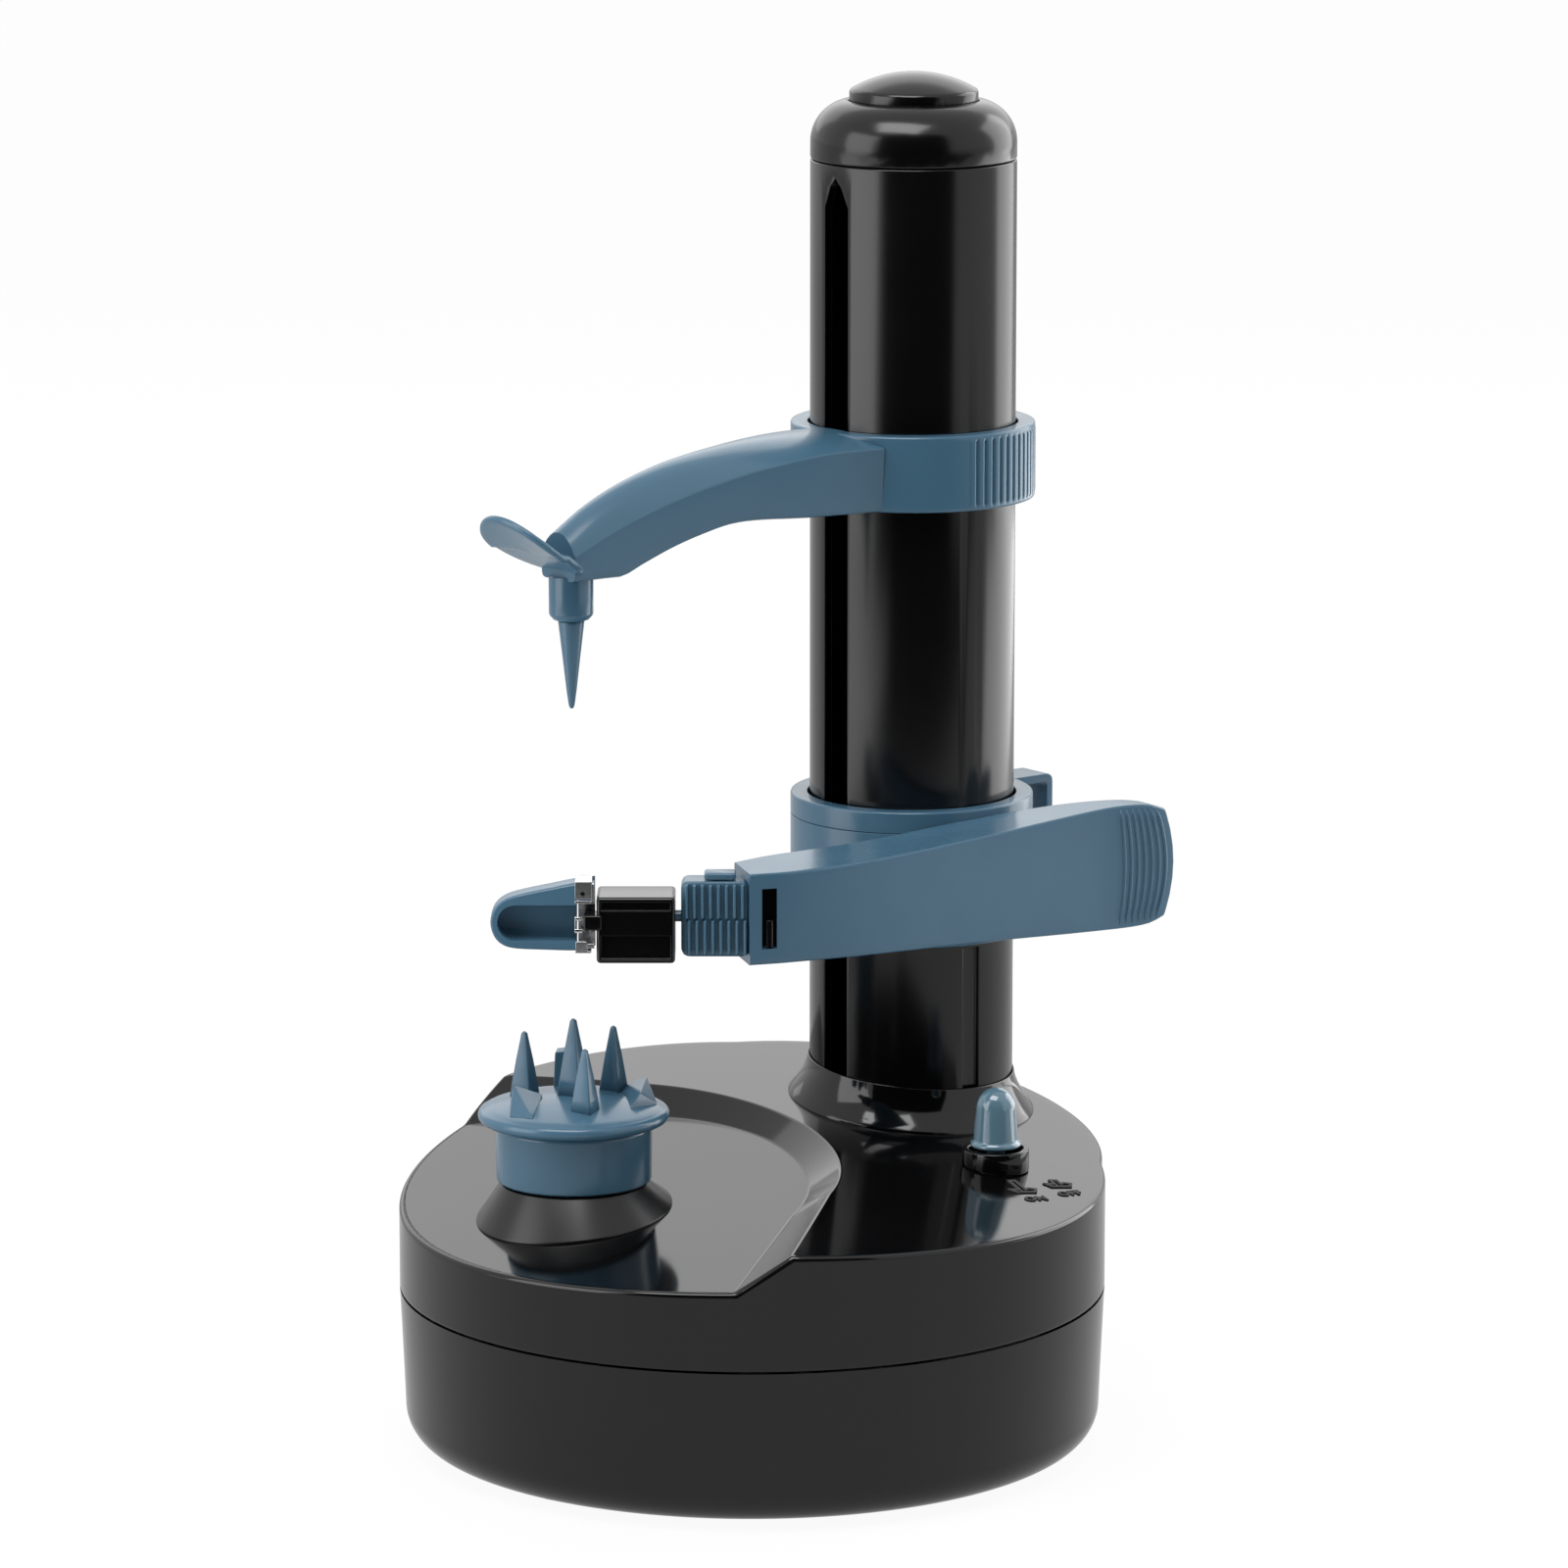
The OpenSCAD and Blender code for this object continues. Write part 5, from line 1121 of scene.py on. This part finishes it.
def makeHead():
    piece = addPiece("swivelBlock", skin(boxRings(*head["block"])), "blade_head", "black_gloss",
                     ("swivel_block",), round=0.8, angle=50)
    front = head["block"][0][1]
    carveRounded(piece, [boxCutter((x0, front - 2, z0), (x1, front + head["panelDepth"], z1))
                         for x0, x1, z0, z1 in head["panels"]])
    addPiece("swivelBar", skin(boxRings(*head["bar"])), "blade_head", "black_gloss", round=0.4)
    strips = gather([skin(boxRings(low, high)) for low, high in head["clip"]])
    addPiece("peelingBlade", strips, "blade_head", "blade_steel", ("peeling_blade",), round=0.09)
    # black disc on the clip's face in place of its small hole: painted shade of the hole
    x, z, radius = head["hole"]
    rings = [[(px, y, pz) for px, pz in circle((x, z), radius, 24)] for y in head["holeDepths"]]
    addPiece("clipHoleShade", skin(rings), "blade_head", "black_gloss", round=0.05)


makeHead()

collar = {
    "low": 197.6, "high": 213.8, "bore": 22.36, "radius": 26.15, "edge": 0.5, "steps": 626,
    "ribs": (296, 61), "pitch": 4.6, "depth": 0.55,   # first and last turn of the ribs, then their size
}


def ribLift(along, span):
    # how far the ribbed band stands out at a turn, fading at both ends
    phase = (along % collar["pitch"]) / collar["pitch"]
    crest = min(1, max(0, sin(pi * phase) * 2.2 - 0.35))
    return (0.12 - collar["depth"] * (1 - crest)) * min(1, along / 1.5, (span - along) / 1.5)


def makeCollar():
    first, last = collar["ribs"]
    span = (last - first) % 360
    bore, low, high, radius, edge = picked(collar, "bore low high radius edge")
    bands = [(bore, low, 0), (radius - edge, low, 0), (radius - edge * 0.3, low + edge * 0.3, 0),
             (radius, low + edge, 0), (radius, low + 0.9, 0), (radius, low + 1.5, 1), (radius, high - 1.6, 1),
             (radius, high - 1, 0), (radius, high - edge, 0), (radius - edge * 0.3, high - edge * 0.3, 0),
             (radius - edge, high, 0), (bore + 0.4, high, 0), (bore, high - 0.4, 0)]
    rings = []
    for reach, height, ribbed in bands:
        ring = []
        for step in range(collar["steps"]):
            turn = 360 * step / collar["steps"]
            along = (turn - first) % 360
            out = reach + (ribLift(along, span) * ribbed if along < span else 0)
            ring.append((*onTurn(axes["column"], radians(turn), out), height))
        rings.append(ring)
    addPiece("topCollar", skin(rings, closed=True), "arm", "slate_blue", ("top_collar",))


makeCollar()

carriage = {
    "low": 103.2, "high": 133.2, "bore": 22.36, "sleeve": 23.62, "flange": 26.15, "under": 128.62,
    "edge": 0.5, "steps": 160,
    "ring": (103.6, 105.4, 23.62, 26),
    "tab": {"turn": 38, "reach": 36, "width": 9, "wall": 1.9, "low": 105.2, "corner": 1.8, "rim": 3.4},
}


def makeCarriage():
    # sleeve with its flange and the ring below it
    low, high, bore, sleeve, flange, under, edge = picked(carriage, "low high bore sleeve flange under edge")
    profile = [(bore, low + 0.2), (bore + 0.2, low), (sleeve, low), (sleeve, under), (flange - 0.1, under),
               (flange, under + 0.1), (flange, high - edge), (flange - edge * 0.3, high - edge * 0.3),
               (flange - edge, high), (bore + 0.4, high), (bore, high - 0.4)]
    shape = turnedRing(profile, axes["column"], carriage["steps"])
    addPiece("carriageSleeve", shape, "carriage", "slate_blue", ("carriage_sleeve",))
    bottom, top, inside, rim = carriage["ring"]
    profile = [(inside, bottom), (rim - 0.3, bottom), (rim, bottom + 0.3), (rim, top), (inside, top)]
    shape = turnedRing(profile, axes["column"], carriage["steps"])
    addPiece("carriageRing", shape, "carriage", "slate_blue", ("carriage_ring",))


def makeFingerTab():
    # hook-shaped tab behind the flange
    tab, high = carriage["tab"], carriage["high"]
    turn, half = radians(tab["turn"]), tab["width"] / 2
    outer, wall, low, corner, rim = picked(tab, "reach wall low corner rim")
    inner = carriage["flange"] - 1.2
    outline = softCorners([(inner, high - rim), (inner, high), (outer, high), (outer, low),
                           (outer - wall, low), (outer - wall, high - wall), (inner + 1.6, high - wall),
                           (inner + 1.6, high - rim)],
                          [0, 0.6, corner, 0.8, 0.5, corner * 0.5, 0.4, 0])
    rings = [[(*onTurn(axes["column"], turn, reach, across), height) for reach, height in outline]
             for across in (-half, half)]
    addPiece("fingerTab", skin(rings), "carriage", "slate_blue", round=0.35, angle=50)


makeCarriage()
makeFingerTab()
print("blade head, collar and carriage made")
